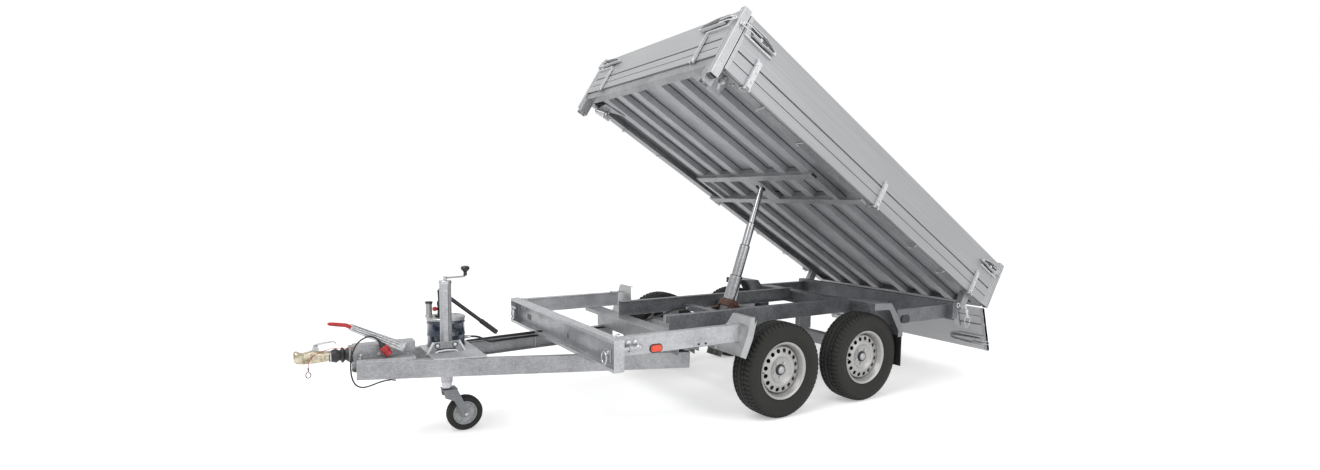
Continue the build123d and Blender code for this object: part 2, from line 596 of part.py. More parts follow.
def cylinder_cradle():
    """A rectangular ring on two crossbeams, bored for the cylinder's cross pin."""
    x, z = CRADLE_X, CRADLE_Z
    low = FRAME_TOP - 60
    body = block((x - 130, x + 130), (-92, 92), (low, z + 26))
    body -= block((x - 118, x + 118), (-80, 80), (low - 1, z + 27))
    body -= rod_y(x, (-100, 100), z, 16.3)
    return body


def cylinder_support():
    """Two crossbeams between the inner rails, tied by the two members that the cradle stands on."""
    z = (FRAME_TOP - RAIL_HEIGHT + STEEL, FRAME_TOP - 60 - SEAT)
    half = INNER_RAIL_Y - STEEL
    body = Part()
    for x in (CRADLE_X - 170, CRADLE_X + 170):
        body += block((x - 30, x + 30), (-half, half), z)
    for _, side in SIDES:
        body += block((CRADLE_X - 170, CRADLE_X + 170), (side * 76, side * 116), z)
    return body


# ---- bed ----------------------------------------------------------------------------------
RIB_LOW = FLOOR_LOW - RIB_DEPTH                 # underside of the floor's ribs
FRAME_HALF = BED_HALF_WIDTH - BOARD_THICK - SWING_GAP       # the edge frame, inside the side boards
FRAME_FRONT, FRAME_BACK = BED_FRONT - FRONT_SET, BED_BACK + BOARD_THICK + SWING_GAP
POST_IN = BED_HALF_WIDTH - 2 - POST_SIDE        # a corner post's inner face
PIN_SETS = ((BED_BACK + 297, 1372, BED_FRONT - 258), (-640, 0, 640), (-650, 650))


def bed_floor():
    """The floor sheet with its pressed ribs below."""
    u = (FRAME_BACK + 3 + SEAT, FRAME_FRONT - 3 - SEAT)
    half = FRAME_HALF - 3 - SEAT
    body = block(u, (-half, half), (FLOOR_LOW, FLOOR_LOW + FLOOR_SHEET))
    foot, top = RIB_FOOT_WIDTH / 2, RIB_TOP_WIDTH / 2
    for y in [side * (RIB_INNER + k * RIB_PITCH) for k in range(3) for _, side in SIDES]:
        rib = prism_x([(y - top, FLOOR_LOW), (y - foot, RIB_LOW), (y + foot, RIB_LOW), (y + top, FLOOR_LOW)], u)
        core = prism_x([(y - top + RIB_SHEET, FLOOR_LOW), (y - foot + RIB_SHEET, RIB_LOW + RIB_SHEET),
                        (y + foot - RIB_SHEET, RIB_LOW + RIB_SHEET), (y + top - RIB_SHEET, FLOOR_LOW)],
                       (u[0] - 1, u[1] + 1))
        body += rib - core
    return in_bed(body - corner_notches())


def corner_notches():
    """What the corner posts take out of the floor and the edge frame."""
    cut = []
    for _, side in SIDES:
        y = (side * (POST_IN - SEAT), side * (BED_HALF_WIDTH + 50))
        cut.append(block((BED_FRONT + 2 - POST_FACE - SEAT, BED_FRONT + 50), y, (0, 600)))
        cut.append(block((BED_BACK - 50, BED_BACK - 2 + POST_FACE + SEAT), y, (0, 600)))
    return Compound(children=cut)


def hinge_lug(u, reach, w, width=24):
    """A lug that reaches from the frame, along U, to a hinge pin that is drawn along Y at U = 0."""
    pin = rod_y(u, (-30, 30), w, PIN_RADIUS)
    return block((u - reach, u), (-width / 2, width / 2), (w - PIN_RADIUS, w + PIN_RADIUS - 2)) + pin


def edge_frame():
    """The pressed frame round the floor: a web with a flange under the ribs."""
    low, top = RIB_LOW - SEAT - 3, FLOOR_LOW + FLOOR_SHEET
    u = (FRAME_BACK, FRAME_FRONT)
    body = block(u, (-FRAME_HALF, FRAME_HALF), (low, top))
    body -= block((u[0] + 3, u[1] - 3), (-FRAME_HALF + 3, FRAME_HALF - 3), (low + 3, top + 1))
    body -= block((u[0] + 60, u[1] - 60), (-FRAME_HALF + 60, FRAME_HALF - 60), (low - 1, top + 1))
    return body - corner_notches()


def bed_beam(u, half):
    """A flat tube under the ribs, across the bed."""
    return block((u - BEAM_HALF, u + BEAM_HALF), (-half, half), (BEAM_LOW, RIB_LOW - SEAT))


def ball_socket(u, side):
    """A socket that sits on a tipping ball, slotted for the ball's neck."""
    y = side * BALL_Y
    body = block((u - 34, u + 34), (y - SOCKET_HALF, y + SOCKET_HALF), (0, RIB_LOW - SEAT))
    body += block((u - 34, u + 34), (y, side * (POST_IN - SEAT)), (RIB_LOW - SEAT - 3, RIB_LOW - SEAT))
    body -= Pos(u, y, 0) * Sphere(BALL_RADIUS + 0.4)
    slot = NECK_RADIUS + 2
    return body - block((u - 80, u + 80), (y - slot, y + slot), (-40, slot))


def bed_frame():
    """Edge frame, beams, ball sockets and hinge pins, welded up as one."""
    body = edge_frame()
    body += bed_beam(BEAMS[0], SHORT_BEAM_HALF) + bed_beam(BEAMS[1], FRAME_HALF)
    reach = PIN_OUT + BOARD_THICK + SWING_GAP + LUG_BITE
    for _, side in SIDES:
        body += block(BEAMS, (side * (SHORT_BEAM_HALF - 40), side * SHORT_BEAM_HALF), (BEAM_LOW, RIB_LOW - SEAT))
        for u in (0.0, NOSE_FACE - NOSE_DEPTH - BALL_SETBACK - PIVOT_X):
            body += ball_socket(u, side)
        for u in PIN_SETS[0]:
            lug = hinge_lug(0, reach, BOARD_LOW - PIN_DOWN)
            y = side * (BED_HALF_WIDTH + PIN_OUT)
            body += Pos(u, y, 0) * Rot(0, 0, side * 90) * lug
    for y in PIN_SETS[1]:
        lug = hinge_lug(0, reach, BOARD_LOW - PIN_DOWN)
        body += Pos(BED_BACK - PIN_OUT, y, 0) * Rot(0, 0, 180) * lug
    for y in PIN_SETS[2]:
        lug = hinge_lug(0, PIN_OUT + FRONT_SET + 1, FRONT_BOARD_LOW - PIN_DOWN)
        body += Pos(BED_FRONT + PIN_OUT, y, 0) * lug
    body += block(BEAMS, (-70, 70), (BEAM_LOW, RIB_LOW - SEAT))
    body -= Pos(LIFT_U, 0, LIFT_W) * Sphere(LIFT_BALL + 0.5)
    body -= rod_z(LIFT_U, 0, (0, LIFT_W), 45)
    return in_bed(body)


def corner_post(u_face, inward, side, low):
    """A hollow stake at a corner: u_face is its outer face and inward is +1 or -1 along U."""
    u = (u_face, u_face + inward * POST_FACE)
    y = (side * (BED_HALF_WIDTH - 2), side * POST_IN)
    body = block(u, y, (low, POST_TOP))
    hollow_u = (u[0] + inward * 3, u[1] - inward * 3)
    hollow_y = (y[0] - side * 3, y[1] + side * 3)
    return in_bed(body - block(hollow_u, hollow_y, (low - 1, POST_TOP + 1)))


def strapped_board(half, low, height, pins, gap=28.0):
    """A board drawn with its outer face on the plane U = 0, facing +U, and its hinge straps."""
    body = block((-BOARD_THICK, 0), (-half, half), (low, low + height))
    pin_w = low - PIN_DOWN
    for y in pins:
        strap = block((0, STRAP_THICK), (y - STRAP_WIDTH / 2, y + STRAP_WIDTH / 2), (pin_w, low + STRAP_UP))
        strap += rod_y(PIN_OUT, (y - STRAP_WIDTH / 2, y + STRAP_WIDTH / 2), pin_w, PIN_RADIUS + 4)
        strap -= block((-BOARD_THICK - 1, 30), (y - gap / 2, y + gap / 2), (pin_w - 20, low + 6))
        body += strap
        body -= block((-BOARD_THICK - 1, 30), (y - gap / 2, y + gap / 2), (pin_w - 20, low + 3))
        body -= rod_y(PIN_OUT, (y - STRAP_WIDTH, y + STRAP_WIDTH), pin_w, PIN_RADIUS + 0.3)
    return body


def side_board(side):
    low_u, high_u = BED_BACK - 2 + POST_FACE + SWING_GAP, BED_FRONT + 2 - POST_FACE - SWING_GAP
    middle = (low_u + high_u) / 2
    pins = [-side * (u - middle) for u in PIN_SETS[0]]
    board = strapped_board((high_u - low_u) / 2, BOARD_LOW, BOARD_HEIGHT, pins)
    return in_bed(Pos(middle, side * BED_HALF_WIDTH, 0) * Rot(0, 0, side * 90) * board)


def front_board():
    height = BOARD_LOW + BOARD_HEIGHT - FRONT_BOARD_LOW
    board = strapped_board(POST_IN - SWING_GAP, FRONT_BOARD_LOW, height, PIN_SETS[2])
    return in_bed(Pos(BED_FRONT, 0, 0) * board)


def tailgate():
    """The rear board, swung open about the pins along its lower edge."""
    board = strapped_board(POST_IN - SWING_GAP, BOARD_LOW, BOARD_HEIGHT, PIN_SETS[1])
    board = Pos(-PIN_OUT, 0, PIN_DOWN - BOARD_LOW) * board
    x, z = bed_point(BED_BACK - PIN_OUT, BOARD_LOW - PIN_DOWN)
    return Pos(x, 0, z) * Rot(0, -TIP_ANGLE - GATE_OPEN, 0) * Rot(0, 0, 180) * board


# ---- all pieces ---------------------------------------------------------------------------
def write(name, shape):
    placed = Pos(BALANCE_X, 0, 0) * shape
    placed.label = name
    export_step(placed, f"parts/{name}.step")


def main():
    write("front_crossmember", front_crossmember())
    write("front_bridge", front_bridge())
    write("rear_bridge", rear_bridge())
    write("rear_crossmember", rear_crossmember())
    for name, side in SIDES:
        write(f"{name}_front_rail", front_rail(side))
        write(f"{name}_inner_rail", inner_rail(side))
        write(f"{name}_rear_rail", rear_rail(side))
        write(f"{name}_drawbar_rail", drawbar_rail(side))
    for end, x in AXLES:
        write(f"{end}_axle", axle(x))
        for name, side in SIDES:
            write(f"{end}_{name}_wheel", wheel(x, side))
            write(f"{end}_{name}_tyre", tyre(x, side))
    for name, side in SIDES:
        write(f"front_{name}_mudguard", mudguard(side, 1))
        write(f"rear_{name}_mudguard", mudguard(side, -1))
        write(f"{name}_mud_flap", mud_flap(side))
    write("overrun_housing", overrun_housing())
    write("coupling_head", coupling_head())
    write("handbrake_lever", handbrake_lever())
    write("jockey_tube", jockey_tube())
    write("jockey_leg", jockey_leg())
    write("jockey_fork", jockey_fork())
    write("jockey_wheel", jockey_wheel())
    write("jockey_crank", jockey_crank())
    write("hand_pump", hand_pump())
    write("pump_lever", pump_lever())
    write("electric_cable", electric_cable())
    write("cable_plug", cable_plug())
    write("breakaway_cable", breakaway_cable())
    write("breakaway_hook", breakaway_hook())
    write("hydraulic_hose", hydraulic_hose())
    write("cylinder_support", cylinder_support())
    write("cylinder_cradle", cylinder_cradle())
    write("cylinder_barrel", cylinder_barrel())
    for k in range(3):
        write(f"cylinder_stage_{k + 1}", cylinder_stage(k))
    write("cylinder_rod", cylinder_rod())
    write("bed_floor", bed_floor())
    write("bed_frame", bed_frame())
    for name, side in SIDES:
        write(f"front_{name}_post", corner_post(BED_FRONT + 2, -1, side, FRONT_POST_LOW))
        write(f"rear_{name}_post", corner_post(BED_BACK - 2, 1, side, REAR_POST_LOW))
        write(f"{name}_board", side_board(side))
    write("front_board", front_board())
    write("tailgate", tailgate())


main()
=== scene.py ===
"""Looks of a three-way tipping utility trailer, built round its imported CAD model."""

import json
from math import cos, pi, radians, sin

import bmesh
import bpy
import numpy as np
from mathutils import Matrix, Vector


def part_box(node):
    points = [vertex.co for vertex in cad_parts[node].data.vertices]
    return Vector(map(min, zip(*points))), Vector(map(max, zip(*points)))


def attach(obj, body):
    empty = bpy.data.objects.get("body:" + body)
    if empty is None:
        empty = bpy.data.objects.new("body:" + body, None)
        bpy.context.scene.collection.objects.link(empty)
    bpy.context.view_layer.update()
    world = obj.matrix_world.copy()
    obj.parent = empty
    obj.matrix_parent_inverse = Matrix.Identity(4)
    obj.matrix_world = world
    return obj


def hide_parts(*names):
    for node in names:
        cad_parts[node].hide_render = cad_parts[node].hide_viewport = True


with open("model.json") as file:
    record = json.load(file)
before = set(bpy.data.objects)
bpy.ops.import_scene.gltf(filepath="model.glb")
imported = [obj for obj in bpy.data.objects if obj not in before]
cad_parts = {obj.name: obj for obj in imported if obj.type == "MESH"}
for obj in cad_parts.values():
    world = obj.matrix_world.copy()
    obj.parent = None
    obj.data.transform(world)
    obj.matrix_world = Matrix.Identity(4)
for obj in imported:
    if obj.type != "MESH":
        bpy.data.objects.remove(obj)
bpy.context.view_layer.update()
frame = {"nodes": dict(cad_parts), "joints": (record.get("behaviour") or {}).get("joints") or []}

bl_info = {
    "name": "Tipping utility trailer",
    "version": (1, 0, 0),
    "blender": (4, 5, 0),
    "location": "3D View > Sidebar > Trailer",
    "description": "Builds the surfaces, fittings and studio of a tipping utility trailer",
    "category": "Add Mesh",
}

JOINTS = {j["name"]: j for j in frame["joints"]}
SIDES = (("left", 1), ("right", -1))
X, Y, Z = np.eye(3)


def pin_of(joint):
    """A point on a joint's axis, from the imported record."""
    return np.array(JOINTS[joint]["pos_m"])


TIP = radians(-JOINTS["bed_tip"]["range_deg"][0])       # how far the bed stands tipped
PIVOT = pin_of("bed_tip")
BED_U = np.array((cos(TIP), 0, sin(TIP)))               # along the bed, forward
BED_W = np.array((-sin(TIP), 0, cos(TIP)))              # square to the bed's floor, up


def corners(node):
    """A node's lowest and highest corner as arrays."""
    return [np.array(c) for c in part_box(node)]


def bed_corners(node):
    """A node's lowest and highest (u, y, w) in the bed's own axes, measured from the pivot line."""
    mesh = frame["nodes"][node].data
    co = np.empty(len(mesh.vertices) * 3, np.float32)
    mesh.vertices.foreach_get("co", co)
    co = co.reshape(-1, 3) - PIVOT
    co = np.stack([co @ BED_U, co[:, 1], co @ BED_W], 1)
    return co.min(0), co.max(0)


def on_bed(u, y, w):
    """The place in the trailer's frame of a point given in the bed's own axes."""
    return PIVOT + u * BED_U + y * Y + w * BED_W


# ---- shapes: a shape is (points, [groups of faces]) -----------------------------------------
def skin(points, wrap_u=False, wrap_v=False):
    """Quads over a grid of points[i, j]; a wrapped direction joins its last row to its first."""
    nu, nv = points.shape[:2]
    i, j = np.meshgrid(np.arange(nu - (not wrap_u)), np.arange(nv - (not wrap_v)), indexing="ij")
    i2, j2 = (i + 1) % nu, (j + 1) % nv
    quads = np.stack([i * nv + j, i2 * nv + j, i2 * nv + j2, i * nv + j2], -1).reshape(-1, 4)
    return points.reshape(-1, 3), [quads]


def joined(shapes):
    """Several shapes as one."""
    points, groups, count = [], [], 0
    for p, g in shapes:
        points.append(p)
        groups += [f + count for f in g]
        count += len(p)
    return np.concatenate(points), groups


def moved(shape, at=(0, 0, 0), axes=None):
    """A shape drawn at the origin, set on three axes (rows) and carried to a point."""
    points = shape[0] if axes is None else shape[0] @ np.array(axes)
    return points + np.array(at), shape[1]


def axes_on(direction, near=Z):
    """Three rows: two directions square to an axis, then the axis; the first lies nearest to `near`."""
    c = np.array(direction, float) / np.linalg.norm(direction)
    a = np.array(near, float) - c * np.dot(near, c)
    if np.linalg.norm(a) < 1e-6:
        a = X - c * np.dot(X, c)
    a /= np.linalg.norm(a)
    return np.array([a, np.cross(c, a), c])


def lathe(profile, at=(0, 0, 0), axis=Z, sides=32, ring=False):
    """A profile of (radius, distance along the axis) turned about it: (r cos t, r sin t, d)."""
    p = np.array(profile, float)
    t = np.arange(sides) * 2 * pi / sides
    grid = np.stack([np.outer(np.cos(t), p[:, 0]), np.outer(np.sin(t), p[:, 0]),
                     np.tile(p[:, 1], (sides, 1))], -1)
    return moved(skin(grid, True, ring), at, axes_on(axis))


def carried(outline, path, near=Z, scale=None, loop=False):
    """A closed outline carried along a path: each ring is the path's point plus the outline on two
    directions square to the path there. The two ends are closed with flat faces."""
    p, o = np.array(path, float), np.array(outline, float)
    step = np.roll(p, -1, 0) - np.roll(p, 1, 0)
    if not loop:
        step[0], step[-1] = p[1] - p[0], p[-1] - p[-2]
    t = step / np.linalg.norm(step, axis=1)[:, None]
    a = np.empty_like(t)
    last = np.array(near, float)
    if abs(last @ t[0]) > 0.99:             # a path that sets off along it takes another axis
        last = np.roll(last, 1)
    for k in range(len(p)):                 # the ring's first direction is handed on along the path
        last = last - t[k] * (last @ t[k])
        last /= np.linalg.norm(last)
        a[k] = last
    b = np.cross(t, a)
    s = np.ones(len(p)) if scale is None else np.array(scale, float)
    rings = p[:, None] + s[:, None, None] * (o[None, :, :1] * a[:, None] + o[None, :, 1:] * b[:, None])
    points, groups = skin(rings, loop, True)
    if not loop:
        n = len(o)
        ends = np.array([np.arange(n)[::-1], np.arange(n) + (len(p) - 1) * n])
        groups = groups + [ends]
    return points, groups


def circle(radius, sides=16):
    """Points round a circle: (r cos t, r sin t)."""
    t = np.arange(sides) * 2 * pi / sides
    return np.stack([radius * np.cos(t), radius * np.sin(t)], 1)


def bent(points, radius, steps=6):
    """A path of straight runs whose corners are rounded: each corner is a quadratic curve between the
    points that lie `radius` before and after it."""
    p = np.array(points, float)
    out = [p[:1]]
    t = np.linspace(0, 1, steps)[:, None]
    for a, b, c in zip(p, p[1:], p[2:]):
        r0, r1 = (min(radius, 0.48 * np.linalg.norm(q - b)) for q in (a, c))
        s = b + (a - b) / np.linalg.norm(a - b) * r0
        e = b + (c - b) / np.linalg.norm(c - b) * r1
        out.append((1 - t) ** 2 * s + 2 * t * (1 - t) * b + t ** 2 * e)
    return np.concatenate(out + [p[-1:]])


def wire(points, radius, bend=0.01, sides=10, loop=False):
    """A round wire along straight runs with rounded corners."""
    return carried(circle(radius, sides), points if loop else bent(points, bend), loop=loop)


def slab(outline, at, a, b, depth):
    """A flat outline on directions a and b, given the thickness `depth` along a third direction."""
    o = np.array(outline, float)
    flat = np.array(at) + o[:, :1] * np.array(a) + o[:, 1:] * np.array(b)
    n = len(o)
    points, groups = skin(np.stack([flat, flat + np.array(depth)]), False, True)
    return points, groups + [np.array([np.arange(n)[::-1], np.arange(n) + n])]


def oblong(wide, high, corner=0.0, steps=5):
    """A rectangle about its middle with rounded corners."""
    if not corner:
        return np.array([(-wide, -high), (wide, -high), (wide, high), (-wide, high)]) / 2
    t = np.linspace(0, pi / 2, steps)
    arcs = [np.stack([sx * (wide / 2 - corner) + corner * np.cos(t + q),
                      sy * (high / 2 - corner) + corner * np.sin(t + q)], 1)
            for sx, sy, q in ((1, 1, 0), (-1, 1, pi / 2), (-1, -1, pi), (1, -1, 3 * pi / 2))]
    return np.concatenate(arcs)


def hex_bolt(at, out, size=0.008, near=Z):
    """A hexagon head of width 1.7 sizes on a washer, both turned about the bolt's axis."""
    r, h = size * 0.98, size * 0.65
    head = lathe([(0, 0), (r, 0), (r, h * 0.8), (r * 0.86, h), (0, h)], sides=6)
    washer = lathe([(0, 0), (size * 1.2, 0), (size * 1.2, size * 0.2), (0, size * 0.2)], sides=20)
    return moved(joined([moved(head, (0, 0, size * 0.2)), washer]), at, axes_on(out, near))


def dome_bolt(at, out, size=0.01):
    """A cup head: a quarter ellipse turned about the bolt's axis."""
    t = np.linspace(0, pi / 2, 6)
    profile = [(0, 0), (size, 0)] + list(zip(size * np.cos(t[:-1]), size * 0.55 * np.sin(t[:-1]) + 0.001))
    return lathe(profile + [(0, size * 0.55 + 0.001)], at, out, 20)


def pierced_band(radii, lifts, holes, hole, arc=6):
    """A ring band between two radii with a round hole in each of its equal cells. In a cell, a point
    runs from the hole's edge (q = 0) to the cell's border (q = 1) along straight lines in (angle,
    radius), and its height comes from `lifts` at its radius."""
    r0, r1 = radii
    middle, half = (r0 + r1) / 2, (r1 - r0) / 2
    wide = pi / holes
    side = np.linspace(-1, 1, arc + 1)[:-1]
    border = np.concatenate([np.stack([side, -np.ones(arc)], 1), np.stack([np.ones(arc), side], 1),
                             np.stack([-side, np.ones(arc)], 1), np.stack([-np.ones(arc), -side], 1)])
    turn = np.arctan2(border[:, 1] * half, border[:, 0] * wide * middle)
    inner = np.stack([hole * np.cos(turn) / (wide * middle), hole * np.sin(turn) / half], 1)
    q = np.linspace(0, 1, 4)[:, None, None]
    cell = inner * (1 - q) + border * q
    shapes = []
    for k in range(holes):
        t = (2 * k + 1) * wide + cell[..., 0] * wide
        r = middle + cell[..., 1] * half
        shapes.append(np.stack([r * np.cos(t), r * np.sin(t), lifts(r)], -1))
    return shapes


def make_mesh(name, shape):
    """The shape's arrays as a mesh, its doubled points merged and its faces turned outwards."""
    points, groups = shape
    mesh = bpy.data.meshes.new(name)
    mesh.vertices.add(len(points))
    mesh.vertices.foreach_set("co", np.ascontiguousarray(points, np.float32).ravel())
    loops = np.concatenate([g.ravel() for g in groups])
    sizes = np.concatenate([np.full(len(g), g.shape[1]) for g in groups])
    mesh.loops.add(len(loops))
    mesh.loops.foreach_set("vertex_index", loops.astype(np.int32))
    mesh.polygons.add(len(sizes))
    mesh.polygons.foreach_set("loop_start", (np.cumsum(sizes) - sizes).astype(np.int32))
    mesh.update(calc_edges=True)
    mesh.validate()
    work = bmesh.new()
    work.from_mesh(mesh)
    bmesh.ops.remove_doubles(work, verts=work.verts, dist=1e-5)
    bmesh.ops.dissolve_degenerate(work, edges=work.edges, dist=1e-6)
    bmesh.ops.recalc_face_normals(work, faces=work.faces)
    work.to_mesh(mesh)
    work.free()
    return mesh


def piece(name, shapes, finish, body, slot=None, edge=0.0, sharp=32, wall=0.0, smooth=0):
    """One piece of the object: its mesh, finish, broken edges, and the body that it rides on."""
    mesh = make_mesh(name, joined(shapes) if isinstance(shapes, list) else shapes)
    mesh.shade_smooth()
    mesh.set_sharp_from_angle(angle=radians(sharp))
    mesh.materials.append(FINISH[finish])
    thing = bpy.data.objects.new(name, mesh)
    bpy.context.scene.collection.objects.link(thing)
    if wall:
        solid = thing.modifiers.new("wall", "SOLIDIFY")
        solid.thickness, solid.offset = wall, 0
    if edge:
        bevel = thing.modifiers.new("edges", "BEVEL")
        bevel.width, bevel.segments, bevel.limit_method = edge, 2, "ANGLE"
        bevel.harden_normals = True
    if smooth:
        finer = thing.modifiers.new("smooth", "SUBSURF")
        finer.levels = finer.render_levels = smooth
    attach(thing, body)
    slot = slot or USUAL_SLOT[finish]
    return thing


# ---- finishes -------------------------------------------------------------------------------
def colour(code):
    """An sRGB hex colour as linear RGBA."""
    c = np.array([int(code[k:k + 2], 16) for k in (1, 3, 5)]) / 255
    return (*np.where(c <= 0.04045, c / 12.92, ((c + 0.055) / 1.055) ** 2.4), 1.0)


def add(tree, kind, inputs=(), stops=None, **fields):
    """One shader node with its fields set and its inputs given a value or joined to an output."""
    node = tree.nodes.new(kind)
    for name, value in fields.items():
        setattr(node, name, value)
    for key, value in dict(inputs).items():
        if isinstance(value, bpy.types.NodeSocket):
            tree.links.new(value, node.inputs[key])
        else:
            node.inputs[key].default_value = value
    for k, (place, code) in enumerate(stops or ()):
        stop = node.color_ramp.elements[k] if k < 2 else node.color_ramp.elements.new(place)
        stop.position, stop.color = place, colour(code)
    return node


def bare_tree(thing):
    """The emptied node tree of a material or a world."""
    thing.use_nodes = True
    thing.node_tree.nodes.clear()
    return thing.node_tree


def start(name, turn=(0, 0, 0), stretch=(1, 1, 1)):
    """A new finish: its tree, its shader and the object's own coordinates, turned and stretched."""
    material = bpy.data.materials.new(name)
    tree = bare_tree(material)
    shader = add(tree, "ShaderNodeBsdfPrincipled")
    out = add(tree, "ShaderNodeOutputMaterial")
    tree.links.new(shader.outputs["BSDF"], out.inputs["Surface"])
    where = add(tree, "ShaderNodeTexCoord").outputs["Object"]
    if any(turn):
        where = add(tree, "ShaderNodeMapping", {"Vector": where, "Rotation": turn}).outputs["Vector"]
    if stretch != (1, 1, 1):
        where = add(tree, "ShaderNodeMapping", {"Vector": where, "Scale": stretch}).outputs["Vector"]
    return material, tree, shader, where


def galvanised(name, dark, light, metal=0.7, rough=(0.36, 0.5), crystal=0.009, edge=0.003):
    """Hot-dip galvanised steel: zinc crystals about a centimetre wide, each a little lighter or darker and
    glossier or duller than the next, under clouds of white oxide a hand's breadth wide. Zinc rounds every
    edge by a few millimetres, and every edge carries a painted highlight: a lighter colour where the
    rounded normal turns away from the true one."""
    material, tree, shader, where = start(name)
    warp = add(tree, "ShaderNodeTexNoise", {"Vector": where, "Scale": 90, "Detail": 2})
    bend = add(tree, "ShaderNodeVectorMath",
               {0: warp.outputs["Color"], 1: (0.005,) * 3}, operation="MULTIPLY")
    bent_where = add(tree, "ShaderNodeVectorMath", {0: where, 1: bend.outputs[0]}, operation="ADD")
    cells = add(tree, "ShaderNodeTexVoronoi", {"Vector": bent_where.outputs[0], "Scale": 1 / crystal})
    cell = add(tree, "ShaderNodeSeparateColor", {"Color": cells.outputs["Color"]})
    cloud = add(tree, "ShaderNodeTexNoise", {"Vector": where, "Scale": 6, "Detail": 6, "Roughness": 0.6})
    clouds = add(tree, "ShaderNodeMapRange",
                 {"Value": cloud.outputs["Fac"], "From Min": 0.3, "From Max": 0.7})
    both = add(tree, "ShaderNodeMix", {"Factor": 0.6, "A": cell.outputs[0], "B": clouds.outputs[0]})
    grey = add(tree, "ShaderNodeValToRGB", {"Fac": both.outputs[0]}, stops=((0.05, dark), (0.95, light)))
    round_off = add(tree, "ShaderNodeBevel", {"Radius": edge}, samples=6)
    true = add(tree, "ShaderNodeNewGeometry").outputs["Normal"]
    turn = add(tree, "ShaderNodeVectorMath", {0: round_off.outputs[0], 1: true}, operation="DOT_PRODUCT")
    # painted highlight: towards every edge the colour turns to the light grey #DCDDDE
    painted_edge_highlight = add(tree, "ShaderNodeMapRange",
                 {"Value": turn.outputs["Value"], "From Min": 0.98, "From Max": 0.8, "To Max": 0.55})
    edge_highlit_grey = add(tree, "ShaderNodeMix", {"Factor": painted_edge_highlight.outputs[0], "A": grey.outputs["Color"],
                                       "B": colour("#DCDDDE")}, data_type="RGBA")
    tree.links.new(edge_highlit_grey.outputs["Result"], shader.inputs["Base Color"])
    dull = add(tree, "ShaderNodeMapRange", {"Value": cell.outputs[1], "To Min": rough[0], "To Max": rough[1]})
    tree.links.new(dull.outputs[0], shader.inputs["Roughness"])
    relief = add(tree, "ShaderNodeMix", {"Factor": 0.4, "A": cloud.outputs["Fac"], "B": cell.outputs[2]})
    bump = add(tree, "ShaderNodeBump", {"Height": relief.outputs[0], "Strength": 0.06, "Distance": 0.001,
                                        "Normal": round_off.outputs[0]})
    tree.links.new(bump.outputs[0], shader.inputs["Normal"])
    shader.inputs["Metallic"].default_value = metal
    return material


def anodised(name, turn, stretch, dark="#9C9D9F", light="#ADAEB0"):
    """Anodised aluminium extrusion: drawn lines along its length a millimetre or two apart, matt from
    etching, with the faint bands that the die leaves."""
    material, tree, shader, where = start(name, turn, stretch)
    lines = add(tree, "ShaderNodeTexNoise", {"Vector": where, "Scale": 1, "Detail": 3})
    grey = add(tree, "ShaderNodeValToRGB", {"Fac": lines.outputs["Fac"]}, stops=((0.3, dark), (0.7, light)))
    tree.links.new(grey.outputs["Color"], shader.inputs["Base Color"])
    dull = add(tree, "ShaderNodeMapRange", {"Value": lines.outputs["Fac"], "To Min": 0.36, "To Max": 0.5})
    tree.links.new(dull.outputs[0], shader.inputs["Roughness"])
    bump = add(tree, "ShaderNodeBump", {"Height": lines.outputs["Fac"], "Strength": 0.06, "Distance": 0.001})
    tree.links.new(bump.outputs[0], shader.inputs["Normal"])
    shader.inputs["Metallic"].default_value = 0.55
    return material


def coated(name, dark, light, metal, rough, scale=40, relief=0.04, coat=0.0):
    """A coloured surface with fine mottle: paint, moulded plastic, plating or rubber, told apart by its
    metal share, its gloss, the size of its grain and the depth of its relief."""
    material, tree, shader, where = start(name)
    fine = add(tree, "ShaderNodeTexNoise", {"Vector": where, "Scale": scale, "Detail": 5, "Roughness": 0.6})
    tint = add(tree, "ShaderNodeValToRGB", {"Fac": fine.outputs["Fac"]}, stops=((0.32, dark), (0.68, light)))
    tree.links.new(tint.outputs["Color"], shader.inputs["Base Color"])
    dull = add(tree, "ShaderNodeMapRange",
               {"Value": fine.outputs["Fac"], "To Min": rough[0], "To Max": rough[1]})
    tree.links.new(dull.outputs[0], shader.inputs["Roughness"])
    grain = add(tree, "ShaderNodeTexNoise", {"Vector": where, "Scale": scale * 9, "Detail": 2})
    bump = add(tree, "ShaderNodeBump",
               {"Height": grain.outputs["Fac"], "Strength": relief * 5, "Distance": 0.001})
    tree.links.new(bump.outputs[0], shader.inputs["Normal"])
    shader.inputs["Metallic"].default_value = metal
    shader.inputs["Coat Weight"].default_value = coat
    return material


